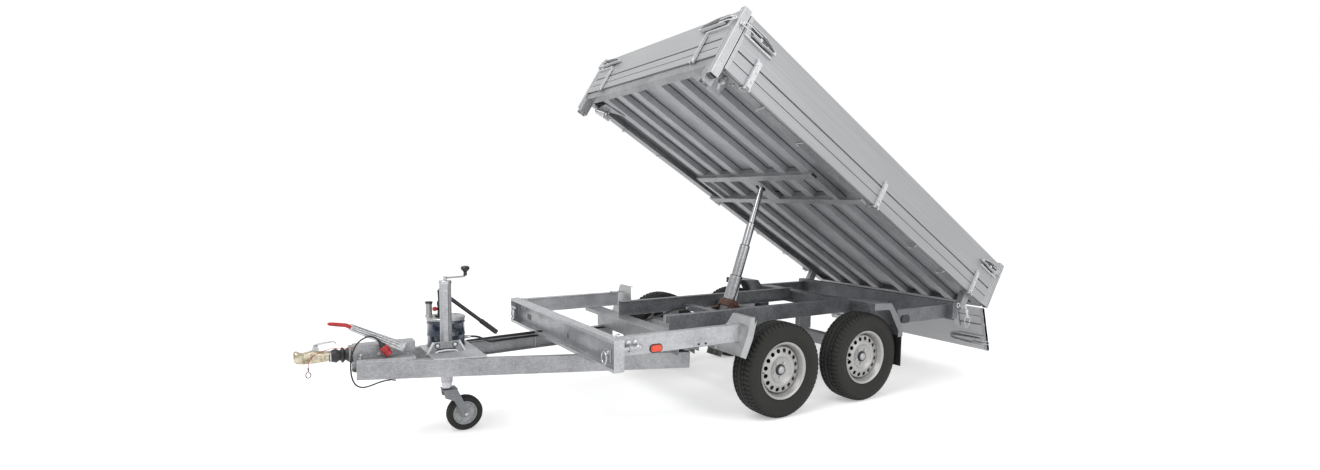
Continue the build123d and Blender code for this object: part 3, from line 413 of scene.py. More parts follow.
def finishes():
    """Every finish of the trailer by its plain name."""
    colours = bpy.context.scene.trailer_colours
    lengthways = (0, TIP, 0)
    return {
        # zinc bath on heavy section: mid grey, mottled, the edges with a painted highlight
        "section": galvanised("hot_dip_galvanised_section", colours.zinc_dark, colours.zinc_light),
        # the same section where the zinc has kept its first shine: the tube, the crossmember, the front rails
        "bright_section": galvanised("bright_galvanised_section", "#96979A", "#BFC0C3"),
        # a darker copy of the same section and sheet for the parts round the wheels and behind, which stand
        # in shade: painted shade
        "dull_section": galvanised("weathered_galvanised_section", "#54565A", "#7F8184", 0.6, (0.42, 0.56)),
        # zinc-coated sheet: paler and smoother, with smaller crystals
        "sheet": galvanised("galvanised_sheet_steel", "#9C9D9F", "#B3B4B5", 0.7, (0.32, 0.44), 0.006, 0.002),
        # underside of the floor: zinc sheet that has dulled
        "underside": galvanised("galvanised_floor_sheet", "#98999C", "#B0B1B4", 0.6, (0.42, 0.56), 0.008),
        # bright zinc on small pressings, bolts and latches
        "bright_zinc": coated("bright_zinc_plate", "#96979A", "#CDCED0", 0.85, (0.22, 0.36), 120),
        # thick bright zinc on the straps, latches, trims and pins, made lighter and less metallic than the
        # plate: its own zinc with a painted highlight
        "strap_zinc": coated("polished_zinc_strap", "#BDBEC0", "#DCDDDF", 0.4, (0.3, 0.44), 120),
        # yellow passivated zinc: straw with pink and green tints
        "yellow_zinc": coated("yellow_passivated_zinc", "#7C7058", "#D6D0BC", 0.85, (0.24, 0.38), 30),
        "side_aluminium": anodised("anodised_aluminium_side", lengthways, (2, 300, 300)),
        "front_aluminium": anodised("anodised_aluminium_front", lengthways, (300, 2, 300)),
        # the tailgate's copy is lighter than the other boards: painted light on a board that hangs facing
        # down
        "gate_aluminium": anodised("anodised_aluminium_gate", (0, GATE, 0), (300, 2, 300),
                                   "#B4B5B7", "#C4C5C7"),
        # moulded tyre: nearly black brown-grey, dull, dusty
        "tyre": coated("vulcanised_tyre_rubber", colours.rubber, "#201F1D", 0, (0.72, 0.88), 25, 0.06),
        "soft_rubber": coated("moulded_black_rubber", "#161617", "#232324", 0, (0.42, 0.56), 60),
        "cable": coated("cable_sheath", "#0E0E0F", "#1A1A1B", 0, (0.35, 0.45), 90),
        "black_plastic": coated("moulded_black_plastic", "#121213", "#1D1D1E", 0, (0.28, 0.4), 80),
        "red_plastic": coated("moulded_red_plastic", colours.grip, "#B4262A", 0, (0.26, 0.36), 60),
        "amber": coated("amber_lens", "#D8300C", "#F04A12", 0, (0.08, 0.14), 200, 0.02, 0.6),
        # silver lacquer on pressed steel, a fine aluminium flake in it
        "silver_lacquer": coated("silver_wheel_lacquer", "#979796", "#B9B8B6", 0.5, (0.34, 0.46),
                                 200, 0.02, 0.1),
        "tank_enamel": coated("tank_enamel", colours.tank, "#1D2E45", 0.1, (0.16, 0.26), 14, 0.02, 0.5),
        "primer": coated("red_brown_primer", "#3E2520", "#58342B", 0, (0.5, 0.66), 35),
        "ground_steel": coated("ground_chromed_steel", "#87888A", "#A2A3A5", 1, (0.16, 0.24), 40, 0.002),
        # dark steel on the pump, filler cap, wipers and clamp rings; on the crossmember's slots and the
        # rails' drain holes it is painted shade
        "dark_steel": coated("oiled_dark_steel", "#2A2A2B", "#48484A", 0.8, (0.35, 0.5), 50),
        # a darker copy of the sheet, painted shade: on the rear mudguards, which stand in shade, and on the
        # jockey fork
        "dull_sheet": galvanised("weathered_galvanised_sheet", "#66686A", "#85878A", 0.6, (0.42, 0.56),
                                 0.006, 0.002),
        # dark zinc: painted shade in the latch channels, under the latches and in the handbrake's grooves;
        # also the jockey tube's seam
        "latch_steel": coated("dull_zinc_pressing", "#4E4F51", "#76777A", 0.8, (0.35, 0.5), 70),
        "dull_steel": coated("blackened_steel", "#4A4A4A", "#6A6A68", 0.6, (0.32, 0.46), 60),
        "grey_hub": coated("moulded_grey_nylon", "#9A9C9E", "#AFB1B3", 0, (0.4, 0.5), 60),
        "white_tie": coated("nylon_tie", "#D9D9D6", "#E6E6E3", 0, (0.35, 0.45), 60),
    }


FINISH = {}
# the slot for a piece of each finish, unless it names another; piece() looks it up but gives it to nothing
USUAL_SLOT = {
    "bright_zinc": "zinc_plate", "strap_zinc": "zinc_plate", "latch_steel": "zinc_plate",
    "dull_sheet": "zinc_plate", "white_tie": "zinc_plate", "section": "galvanised_steel",
    "sheet": "galvanised_steel", "grey_hub": "galvanised_steel", "black_plastic": "black_rubber",
    "cable": "black_rubber",
    "dark_steel": "black_rubber", "soft_rubber": "black_rubber", "red_plastic": "red_plastic",
    "amber": "red_plastic", "primer": "red_brown_primer", "tank_enamel": "blue_paint",
    "silver_lacquer": "wheel_silver", "tyre": "tyre", "yellow_zinc": "yellow_zinc",
    "side_aluminium": "anodised_aluminium", "front_aluminium": "anodised_aluminium",
    "gate_aluminium": "anodised_aluminium",
}


# ---- where the boards stand -----------------------------------------------------------------
GATE = TIP + radians(JOINTS["tailgate_swing"]["range_deg"][1])
GATE_OUT = np.array((-cos(GATE), 0, -sin(GATE)))
GATE_UP = np.array((-sin(GATE), 0, cos(GATE)))
BOARD_HIGH, FRONT_HIGH, BOARD_THICK = 0.38, 0.323, 0.025
LATCH_UP = 0.77                 # where the latches sit, as a share of a board's height
SIDE_HALF, END_HALF = 1.5575, 0.8935
SIDE_MIDDLE, SIDE_OUT, SIDE_FOOT = 1.374, 0.941, 0.127         # a side board's foot in the bed's axes
SIDE_HINGES = (-1.324, -0.002, 1.363)
# name: (foot of the outer face, along, up, out, half length, height, hinge places along it)
BOARDS = {
    "left_board": (on_bed(SIDE_MIDDLE, SIDE_OUT, SIDE_FOOT), BED_U, BED_W, Y, SIDE_HALF, BOARD_HIGH,
                   SIDE_HINGES),
    "right_board": (on_bed(SIDE_MIDDLE, -SIDE_OUT, SIDE_FOOT), BED_U, BED_W, -Y, SIDE_HALF, BOARD_HIGH,
                    SIDE_HINGES),
    "front_board": (on_bed(2.995, 0, 0.184), Y, BED_W, BED_U, END_HALF, FRONT_HIGH, (-0.65, 0.65)),
    "tailgate": (pin_of("tailgate_swing") - 0.005 * GATE_OUT + 0.007 * GATE_UP, Y, GATE_UP, GATE_OUT,
                 END_HALF, BOARD_HIGH, (-0.64, 0, 0.64)),
}
BOARD_FINISH = {"left_board": "side_aluminium", "right_board": "side_aluminium",
                "front_board": "front_aluminium", "tailgate": "gate_aluminium"}


def on_board(name, shapes):
    """Shapes drawn as (along, up, out) from the foot of a board's outer face, set on the board."""
    at, along, up, out = BOARDS[name][:4]
    return moved(joined(shapes), at, [along, up, out])


def board_section(high):
    """The extrusion's outline as (up, out): two grooves outside, one inside, and a rounded top edge."""
    wide, narrow = (0.358 * high, 0.358 * high + 0.012, 0.013), (0.172 * high, 0.172 * high + 0.006, 0.008)
    outer = [(0, 0)]
    for low, top, deep in (narrow, wide):
        outer += [(low, 0), (low + 0.001, -deep), (top - 0.001, -deep), (top, 0)]
    t = np.linspace(pi / 2, -pi / 2, 9)
    r = BOARD_THICK / 2
    crown = list(zip(high - 0.008 + 0.008 * np.cos(t), -r + r * np.sin(t)))
    inner = [(0.5 * high, -2 * r), (0.5 * high - 0.001, -2 * r + 0.004), (0.5 * high - 0.009, -2 * r + 0.004),
             (0.5 * high - 0.01, -2 * r), (0, -2 * r)]
    return outer + crown + inner


def hinge_strap():
    """A folded strap with one upstanding edge, two hinge rolls and four bolts, at its board's foot."""
    plate = [(-.025, -.008), (-.0145, -.008), (-.0145, .008), (.0145, .008), (.0145, -.008), (.025, -.008),
             (.025, .182), (.017, .19), (-.017, .19), (-.025, .182)]
    shapes = [slab(plate, (0, 0, 0), X, Y, 0.0045 * Z),
              slab([(0.0, 0), (.176, 0), (.192, .008), (.192, .022), (0.008, .026), (0.0, .016)],
                   (0.0205, 0.002, 0.0), Y, Z, 0.0045 * X)]
    for s in (-0.0197, 0.0197):
        shapes.append(lathe([(0, -0.005), (0.01, -0.005), (0.01, 0.005),
                             (0, 0.005)], (s, -0.007, 0.005), X, 20))
    for s, h in ((-.012, .045), (.008, .08), (-.012, .115), (.008, .16)):
        shapes.append(hex_bolt((s, h, 0.0045), Z, 0.0062))
    return shapes


def mirrored(parts, end, half):
    """Shapes drawn as (distance in from a board's end, up, out), set at that end."""
    points, groups = joined(parts)
    return np.stack([end * (half - points[:, 0]), points[:, 1], points[:, 2]], 1), groups


def latch(end, half, high, long):
    """An over-centre latch near a board's end. The lever is a pressed channel, open outwards, that stands
    off the board and narrows to its tip; a wire bail runs from it to the post. Returned as its bright
    parts, and the dark ones in the channel and below it, which are painted shade."""
    h = LATCH_UP * high
    upper = [(0.022, h + 0.024, 0.024), (0.15, h + 0.024, 0.026), (long - 0.05, h + 0.016, 0.022),
             (long, h + 0.002, 0.016)]
    lower = [(0.055, h - 0.022, 0.024), (0.15, h - 0.024, 0.026), (long - 0.05, h - 0.016, 0.022),
             (long, h - 0.012, 0.016)]
    bright = [carried(oblong(0.0035, 0.022), edge, near=Y) for edge in (upper, lower)]
    bright.append(slab(oblong(0.022, 0.018, 0.008), (long - 0.002, h - 0.005, 0.01), X, Y, 0.014 * Z))
    bright += [dome_bolt((0.125, h, 0.017), Z, 0.013), dome_bolt((0.19, h - 0.006, 0.016), Z, 0.007)]
    bright.append(slab([(0.01, h - 0.046), (0.235, h - 0.046), (0.255, h - 0.04), (0.235, h - 0.036),
                        (0.01, h - 0.036)], (0, 0, 0), X, Y, 0.014 * Z))
    loop = [(0.115, h - 0.012, 0.03), (0.03, h - 0.013, 0.032), (-0.03, h - 0.012, 0.018),
            (-0.036, h, 0.014), (-0.03, h + 0.012, 0.018), (0.03, h + 0.013, 0.032), (0.115, h + 0.012, 0.03)]
    bright += [wire(loop, 0.0038, 0.008), slab(oblong(0.05, 0.06, 0.006), (0.036, h, 0), X, Y, 0.006 * Z)]
    # the dark web in the channel and the dark plate below the lever: painted shade
    web = [(0.03, h + 0.022), (0.15, h + 0.023), (long - 0.05, h + 0.015), (long - 0.006, h + 0.001),
           (long - 0.006, h - 0.01), (long - 0.05, h - 0.015), (0.15, h - 0.023), (0.06, h - 0.021)]
    dull = [slab(web, (0, 0, 0.01), X, Y, 0.006 * Z),
            slab([(0.03, h - 0.036), (0.215, h - 0.036), (0.19, h - 0.022),
                  (0.03, h - 0.022)], (0, 0, 0.001), X, Y, 0.004 * Z)]
    return mirrored(bright, end, half), mirrored(dull, end, half)


def keeper(end, half, high):
    """The hook on the corner post that a latch's bail pulls on, drawn as `latch` is."""
    h = LATCH_UP * high
    hook = [(-0.012, 0), (-0.048, 0), (-0.048, 0.005), (-0.04, 0.006), (-0.032, 0.012), (-0.036, 0.022),
            (-0.03, 0.024), (-0.024, 0.012), (-0.026, 0.005), (-0.012, 0.004)]
    parts = [slab(hook, (0, h - 0.009, -0.002), X, Z, 0.018 * Y)]
    parts.append(hex_bolt((-0.03, h - 0.03, -0.002), Z, 0.005))
    return mirrored(parts, end, half)


# ---- operators: one for each group of like pieces ---------------------------------------------
class TRAILER_OT_finishes(bpy.types.Operator):
    """Give every piece of the frame, the bed and the running gear that keeps its shape its real finish"""
    bl_idname, bl_label = "trailer.finishes", "Metal and rubber finishes"

    def execute(self, context):
        FINISH.update(finishes())
        groups = {
            "section": ("front_bridge", "drawbar", "axle", "bed_frame", "overrun_housing"),
            "bright_section": ("front_crossmember", "front_rail", "jockey_tube"),
            "dull_section": ("inner_rail", "rear_rail", "rear_bridge", "rear_crossmember",
                             "cylinder_support"),
            "sheet": ("mudguard", "post"),
            "dull_sheet": ("rear_left_mudguard", "rear_right_mudguard"),
            "underside": ("bed_floor",),
            "soft_rubber": ("mud_flap",),
            "dull_steel": ("cylinder_barrel",),
            "ground_steel": ("cylinder_stage", "cylinder_rod"),
            "bright_zinc": ("jockey_leg", "jockey_fork", "handbrake_lever"),
            "yellow_zinc": ("coupling_head", "breakaway_hook"),
            "silver_lacquer": ("wheel",),
            "tyre": ("tyre", "jockey_wheel"),
            "tank_enamel": ("hand_pump",),
            "red_plastic": ("cable_plug",),
            "black_plastic": ("pump_lever", "jockey_crank"),
            "side_aluminium": ("left_board", "right_board"),
            "front_aluminium": ("front_board",),
            "gate_aluminium": ("tailgate",),
        }
        for node, thing in frame["nodes"].items():
            for finish, words in groups.items():
                if any(word in node for word in words):
                    thing.data.materials.clear()
                    thing.data.materials.append(FINISH[finish])
        return {"FINISHED"}


class TRAILER_OT_boards(bpy.types.Operator):
    """Build the four grooved aluminium boards with their end caps"""
    bl_idname, bl_label = "trailer.boards", "Aluminium boards"

    def execute(self, context):
        for name, (_, _, _, _, half, high, _) in BOARDS.items():
            board = slab(board_section(high), (-half, 0, 0), Y, Z, 2 * half * X)
            face = piece(name + "_extrusion", on_board(name, [board]), BOARD_FINISH[name], name, sharp=25)
            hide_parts(name)
            caps = []
            for end in (-1, 1):
                cap = [(-0.0265, 0), (0.0015, 0), (0.0015, high - 0.006), (-0.006, high + 0.001),
                       (-0.019, high + 0.001), (-0.0265, high - 0.006)]
                caps.append(slab(cap, (end * half, 0, 0), Z, Y, -end * 0.028 * X))
                for h in (0.2 * high, 0.88 * high):
                    caps.append(dome_bolt((end * (half - 0.014), h, 0.0015), Z, 0.005))
            piece(name + "_end_caps", on_board(name, caps), "sheet", name, "anodised_aluminium", edge=0.0008)
        return {"FINISHED"}


class TRAILER_OT_hinges(bpy.types.Operator):
    """Build the folded hinge straps on the boards"""
    bl_idname, bl_label = "trailer.hinges", "Hinge straps"

    def execute(self, context):
        for name, (_, _, _, _, _, _, places) in BOARDS.items():
            straps = [moved(joined(hinge_strap()), (s, 0, 0)) for s in places]
            piece(name + "_hinge_straps", on_board(name, straps), "strap_zinc", name,
                  "galvanised_steel", edge=0.0006)
        return {"FINISHED"}


class TRAILER_OT_latches(bpy.types.Operator):
    """Build the over-centre latches at the boards' ends and their keepers on the corner posts"""
    bl_idname, bl_label = "trailer.latches", "Corner latches"

    def execute(self, context):
        keepers = []
        for name, (_, _, _, _, half, high, _) in BOARDS.items():
            bright, dull = zip(*[latch(end, half, high, 0.335 if half < 1 else 0.25) for end in (-1, 1)])
            piece(name + "_latches", on_board(name, bright), "strap_zinc", name, edge=0.0005)
            # the dark webs and under-plates are painted shade in and below the latches; the tailgate's are
            # bright zinc
            piece(name + "_latch_webs", on_board(name, dull),
                  "bright_zinc" if name == "tailgate" else "latch_steel", name, edge=0.0005)
            if name != "tailgate":
                keepers.append(on_board(name, [keeper(end, half, high) for end in (-1, 1)]))
        closed = moved(joined([keeper(end, END_HALF, BOARD_HIGH) for end in (-1, 1)]),
                       on_bed(-0.247, 0, 0.127), [Y, BED_W, -BED_U])
        piece("latch_keepers", keepers + [closed], "bright_zinc", "bed", edge=0.0005)
        return {"FINISHED"}


WHEELS = [f"{end}_{side}" for end in ("front", "rear") for side, _ in SIDES]
TYRE_R = 0.325


def wheel_axes(name):
    """Three rows for a wheel: two directions in its plane and its outward axle line."""
    out = Y if "left" in name else -Y
    return np.array([X, np.cross(out, X), out])


def tyre_shape():
    """A ring section turned about the axle. Round the tread the radius drops into grooves, and in every
    pitch of 6 degrees slanted cuts part the shoulder and middle blocks: the radius is the section's
    minus a depth that depends on the angle and on the place across the tread."""
    side = [(0.178, 0.058), (0.188, 0.067), (0.199, 0.0715), (0.203, 0.0765), (0.207, 0.0775), (0.222, 0.087),
            (0.238, 0.0915), (0.24, 0.0925), (0.256, 0.093), (0.268, 0.093), (0.282, 0.092), (0.296, 0.0885),
            (0.304, 0.0845), (0.3045, 0.085), (0.312, 0.0805), (0.3185, 0.0735)]
    across = np.array([0.07, 0.062, 0.0515, 0.0505, 0.0435, 0.0425, 0.03, 0.021, 0.02, 0.0145, 0.0135, 0.005])
    across = np.concatenate([across, -across[::-1]])
    crown = TYRE_R - 0.0042 * (across / 0.07) ** 4
    deep = np.isin(np.round(np.abs(across), 4), (0.0505, 0.0435, 0.02, 0.0145)) * 0.0085
    section = side + list(zip(crown, across)) + [(r, -o) for r, o in side[::-1]]
    section = np.array(section)
    ring = len(side)
    pitches = 60
    steps = np.array([0.0, 0.05, 0.27, 0.32, 0.5, 0.55, 0.72, 0.77])
    t = ((np.arange(pitches)[:, None] + steps) * 2 * pi / pitches).ravel()
    cut = np.tile([0, 1, 1, 0, 0, 0, 0, 0], pitches)
    sipe = np.tile([0, 0, 0, 0, 0, 1, 1, 0], pitches)
    radius = np.tile(section[:, 0], (len(t), 1))
    grooves = np.zeros(len(section))
    grooves[ring:ring + len(across)] = deep
    radius -= grooves
    place = np.abs(section[:, 1])
    shoulder = (place > 0.0508) & (place < 0.0925) & (section[:, 0] > 0.303)
    middle = (place < 0.0425) & (place > 0.0205)
    radius -= 0.008 * cut[:, None] * (shoulder & (grooves == 0))
    radius -= 0.0065 * sipe[:, None] * (middle & (grooves == 0))
    slant = np.sign(section[:, 1]) * np.clip(place - 0.02, 0, 0.06) * (section[:, 0] > 0.303) * 1.2
    turn = t[:, None] + slant[None, :]
    weave = np.tile([1, 1, 0.4, -0.4, -1, -1, -0.4, 0.4], pitches)[:, None] * 0.0028 * (place < 0.062)
    return skin(np.stack([radius * np.cos(turn), radius * np.sin(turn),
                          section[:, 1] + weave], -1), True, True)


def disc_lift(r):
    """How far the wheel's disc stands out at a radius: hub face, then a crown, then down to the rim."""
    at = (0.0, 0.034, 0.062, 0.07, 0.08, 0.093, 0.103, 0.112, 0.122, 0.146, 0.1535, 0.158, 0.16)
    out = (0.036, 0.036, 0.036, 0.039, 0.04, 0.051, 0.054, 0.052, 0.046, 0.041, 0.04, 0.036, 0.026)
    return np.interp(r, at, out)


def wheel_shapes():
    """Rim: a rolled section turned about the axle. Disc: two skins a wall apart that follow disc_lift,
    pierced by sixteen round holes, with the walls of the holes and of the two edges between them."""
    rim = [(0.195, 0.0765), (0.1965, 0.0735), (0.195, 0.071), (0.186, 0.068), (0.1795, 0.062), (0.177, 0.04),
           (0.171, 0.034), (0.1695, 0.022), (0.16, 0.01), (0.158, -0.012), (0.1695, -0.03), (0.177, -0.04),
           (0.1795, -0.062), (0.186, -0.068), (0.195, -0.071), (0.1965, -0.0735), (0.195, -0.0765),
           (0.184, -0.0725), (0.176, -0.064), (0.1735, -0.042), (0.166, -0.033), (0.1545, -0.013),
           (0.1565, 0.008), (0.166, 0.0195), (0.1675, 0.031),
           (0.1735, 0.037), (0.176, 0.064), (0.184, 0.0725)]
    shapes = [lathe(rim, sides=96, ring=True)]
    holes, hole, thick = 16, 0.0152, 0.004
    band = (0.1165, 0.1515)
    cells = pierced_band(band, disc_lift, holes, hole)
    for cell in cells:
        back = cell - (0, 0, thick)
        shapes += [skin(cell, False, True), skin(back, False, True),
                   skin(np.stack([cell[0], back[0]]), False, True)]
    sides = holes * 12
    t = np.arange(sides) * 2 * pi / sides
    for radii in (np.array([0.033, 0.036, 0.048, 0.062, 0.066, 0.07, 0.08, 0.086, 0.093, 0.098, 0.103, 0.108,
                            band[0]]), np.array([band[1], 0.1535, 0.156, 0.158, 0.16])):
        sheet = np.stack([np.outer(np.cos(t), radii), np.outer(np.sin(t), radii),
                          np.tile(disc_lift(radii), (sides, 1))], -1)
        back = sheet - (0, 0, thick)
        shapes += [skin(sheet, True, False), skin(back, True, False)]
        edge = 0 if radii[0] < 0.1 else -1
        shapes.append(skin(np.stack([sheet[:, edge], back[:, edge]]), False, True))
    return shapes


class TRAILER_OT_tyres(bpy.types.Operator):
    """Build the four tyres with grooved tread blocks"""
    bl_idname, bl_label = "trailer.tyres", "Tyres"

    def execute(self, context):
        shape = tyre_shape()
        for name in WHEELS:
            at = pin_of(name + "_wheel_spin")
            tyre = piece(name + "_tread_tyre", moved(shape, at, wheel_axes(name)),
                         "tyre", name + "_wheel", sharp=28)
            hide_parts(name + "_tyre")
        return {"FINISHED"}


class TRAILER_OT_wheels(bpy.types.Operator):
    """Build the pressed wheels with hub caps, wheel bolts, valves and brake drums"""
    bl_idname, bl_label = "trailer.wheels", "Pressed wheels"

    def execute(self, context):
        shapes = wheel_shapes()
        cap = [(0, 0.061), (0.012, 0.0605), (0.022, 0.057), (0.027, 0.051), (0.028, 0.034), (0, 0.034)]
        collar = [(0.028, 0.033), (0.0385, 0.033), (0.0385, 0.042), (0.035, 0.047), (0.028, 0.047)]
        drum = [(0, -0.02), (0.072, -0.02), (0.076, -0.03), (0.105, -0.044), (0.109, -0.05), (0.109, -0.1),
                (0.114, -0.101), (0.114, -0.106), (0, -0.106)]
        flange = [(0, -0.02), (0.06, -0.02), (0.06, 0.0315), (0, 0.0315)]
        for name in WHEELS:
            at, rows, body = pin_of(name + "_wheel_spin"), wheel_axes(name), name + "_wheel"
            wheel = piece(name + "_pressed_wheel",
                          moved(joined(shapes), at, rows), "silver_lacquer", body, sharp=40)
            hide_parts(name + "_wheel")
            turns = np.arange(5) * 2 * pi / 5 + 0.3
            bolts = [hex_bolt((0.053 * cos(a), 0.053 * sin(a), 0.036), Z, 0.0095, near=X) for a in turns]
            piece(name + "_wheel_bolts", moved(joined(bolts), at, rows), "bright_zinc", body)
            hub = [lathe(cap, sides=40), lathe(drum, sides=64), lathe(flange, sides=40)]
            piece(name + "_hub", moved(joined(hub), at, rows), "sheet", body)
            # a black ring behind the disc's holes: painted shade seen through them
            shade = [(0.06, 0.01), (0.1565, 0.01), (0.1565, 0.014), (0.06, 0.014)]
            piece(name + "_brake_shield",
                  moved(lathe(shade, sides=64, ring=True), at, rows), "soft_rubber", body)
            piece(name + "_hub_ring",
                  moved(lathe(collar, sides=40, ring=True), at, rows), "soft_rubber", body)
            valve = carried(circle(0.0042, 12), [(0.166, 0, 0.03), (0.163, 0, 0.044), (0.158, 0, 0.062)],
                            scale=[1.3, 1, 0.8])
            piece(name + "_valve", moved(valve, at, rows), "soft_rubber", body)
        return {"FINISHED"}


# ---- drawbar, jockey wheel and pump -----------------------------------------------------------
JOCKEY = pin_of("jockey_swivel")
JOCKEY_TOP = corners("jockey_tube")[1][2]
JOCKEY_HUB = pin_of("jockey_wheel_spin")


class TRAILER_OT_jockey(bpy.types.Operator):
    """Build the jockey wheel, its swivel fork, its tube's cap and clamp, and the folding crank"""
    bl_idname, bl_label = "trailer.jockey", "Jockey wheel"

    def execute(self, context):
        x = JOCKEY[0]
        tyre = [(0.074, -0.022), (0.078, -0.03), (0.094, -0.0325), (0.104, -0.028), (0.109, -0.02),
                (0.11, -0.006), (0.1085, -0.005), (0.1085, -0.003), (0.11, -0.002)]
        tyre = tyre + [(r, -o) for r, o in tyre[::-1]]
        rubber = piece("jockey_tyre", lathe(tyre, JOCKEY_HUB, Y, 72, ring=True), "tyre", "jockey_wheel",
                       "jockey_tyre", sharp=40)
        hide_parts("jockey_wheel")
        rim = [(0.0755, -0.021), (0.0755, 0.021), (0.068, 0.024), (0.064, 0.014), (0.06, 0.007),
               (0.034, 0.007), (0.028, 0.014), (0.026, 0.03), (0.0083, 0.03), (0.0083, -0.03), (0.026, -0.03),
               (0.028, -0.014), (0.034, -0.007), (0.06, -0.007), (0.064, -0.014), (0.068, -0.024)]
        hub = [lathe(rim, JOCKEY_HUB, Y, 64, ring=True)]
        for a in np.arange(5) * 2 * pi / 5:
            way = np.array((cos(a), 0, sin(a)))
            hub.append(slab(oblong(0.036, 0.007, 0.002), JOCKEY_HUB + 0.047 * way - 0.013 * Y, way,
                            np.cross(way, Y), 0.026 * Y))
        piece("jockey_hub", hub, "grey_hub", "jockey_wheel", edge=0.0008)
        nut = [hex_bolt(JOCKEY_HUB + s * 0.048 * Y, s * Y, 0.009) for s in (-1, 1)]
        piece("jockey_axle_nuts", nut, "bright_zinc", "jockey_fork")
        # swivel head and the two pressed arms, each narrowing to the axle
        high = corners("jockey_fork")[1]
        arms = []
        arm = [(0.03, high[2]), (-0.05, high[2]), (-0.072, high[2] - 0.045), (-0.118, JOCKEY_HUB[2] + 0.012),
               (-0.118, JOCKEY_HUB[2] - 0.012), (-0.104, JOCKEY_HUB[2] - 0.022),
               (-0.088, JOCKEY_HUB[2] - 0.014), (-0.03, high[2] - 0.075), (0.022, high[2] - 0.052)]
        for s in (-1, 1):
            arms.append(slab([(x + a, b) for a, b in arm], (0, s * 0.0405, 0), X, Z, s * 0.0055 * Y))
        arms.append(slab(oblong(0.088, 0.09, 0.006), (x - 0.012, 0, high[2] - 0.007), X, Y, 0.007 * Z))
        arms.append(lathe([(0, -0.051), (0.008, -0.051), (0.008, 0.051), (0, 0.051)], JOCKEY_HUB, Y, 20))
        arms.append(lathe([(0.0125, 0), (0.022, 0), (0.02, 0.006),
                           (0.0125, 0.006)], (x, 0, high[2]), Z, 28, True))
        # the fork takes the darker copy of the sheet: painted shade
        fork = piece("jockey_swivel_fork", arms, "dull_sheet", "jockey_fork", edge=0.0012)
        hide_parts("jockey_fork")
        cap = lathe([(0, 0), (0.0385, 0), (0.0375, -0.016), (0.0352, -0.018), (0.037, 0.003), (0.034, 0.0065),
                     (0.012, 0.007), (0.0095, 0.008), (0.0095, 0.032),
                     (0, 0.032)][::-1], (x, 0, JOCKEY_TOP), Z, 40)
        piece("jockey_cap", [cap], "bright_zinc", "chassis")
        seam = slab(oblong(0.0045, 0.0022, 0.0009), (x - 0.009, 0.0338, 0.52), X, Y, (JOCKEY_TOP - 0.545) * Z)
        piece("jockey_tube_seam", [seam], "latch_steel", "chassis", "galvanised_steel")
        reach, rise = 0.122, JOCKEY_TOP + 0.021
        crank = [wire([(x, 0, rise), (x - reach, 0, rise + 0.004),
                       (x - reach, 0, rise + 0.022)], 0.0055, 0.012)]
        lever = piece("jockey_crank_arm", crank, "section", "chassis", "zinc_plate")
        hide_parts("jockey_crank")
        knob = [(0, 0), (0.012, 0), (0.0105, 0.008), (0.0105, 0.02), (0.015, 0.027), (0.0225, 0.034),
                (0.0265, 0.042), (0.0265, 0.05), (0.022, 0.056), (0.012, 0.059), (0, 0.06)]
        piece("jockey_crank_knob", [lathe(knob, (x - reach, 0, rise + 0.01), Z, 32)], "black_plastic",
              "chassis")
        # clamp bracket on the left of the tube: folded plate, its gussets, two bolts
        plate = [(x - 0.1, 0.512), (x + 0.12, 0.512), (x + 0.085, 0.582), (x - 0.065, 0.582)]
        piece("jockey_clamp", [slab(plate, (0, 0.0425, 0), X, Z, 0.0035 * Y)],
              "section", "chassis", edge=0.0012)
        trim, rings = [], []
        for foot, head in ((x - 0.104, x - 0.066), (x + 0.124, x + 0.086)):
            trim.append(carried(oblong(0.005, 0.012), [(foot, 0.05, 0.512), (head, 0.05, 0.584)], near=Y))
        for px in (-0.052, 0.052):
            trim.append(hex_bolt((x + 0.01 + px, 0.047, 0.56), Y, 0.009))
            rings.append(lathe([(0, 0), (0.0165, 0), (0.0165, 0.001), (0, 0.001)],
                               (x + 0.01 + px, 0.046, 0.56), Y, 28))
        lip = [(x - 0.058, 0.516), (x - 0.04, 0.527), (x + 0.01, 0.531),
               (x + 0.06, 0.527), (x + 0.078, 0.516)]
        trim.append(carried(oblong(0.016, 0.009, 0.003), [(a, 0.052, b) for a, b in lip], near=Y))
        rings.append(slab([(x - 0.05, 0.53), (x + 0.07, 0.53), (x + 0.064, 0.541), (x - 0.044, 0.541)],
                          (0, 0.046, 0), X, Z, 0.0008 * Y))
        piece("clamp_trim", trim, "strap_zinc", "chassis", edge=0.0005)
        piece("clamp_rings", rings, "dark_steel", "chassis")
        return {"FINISHED"}


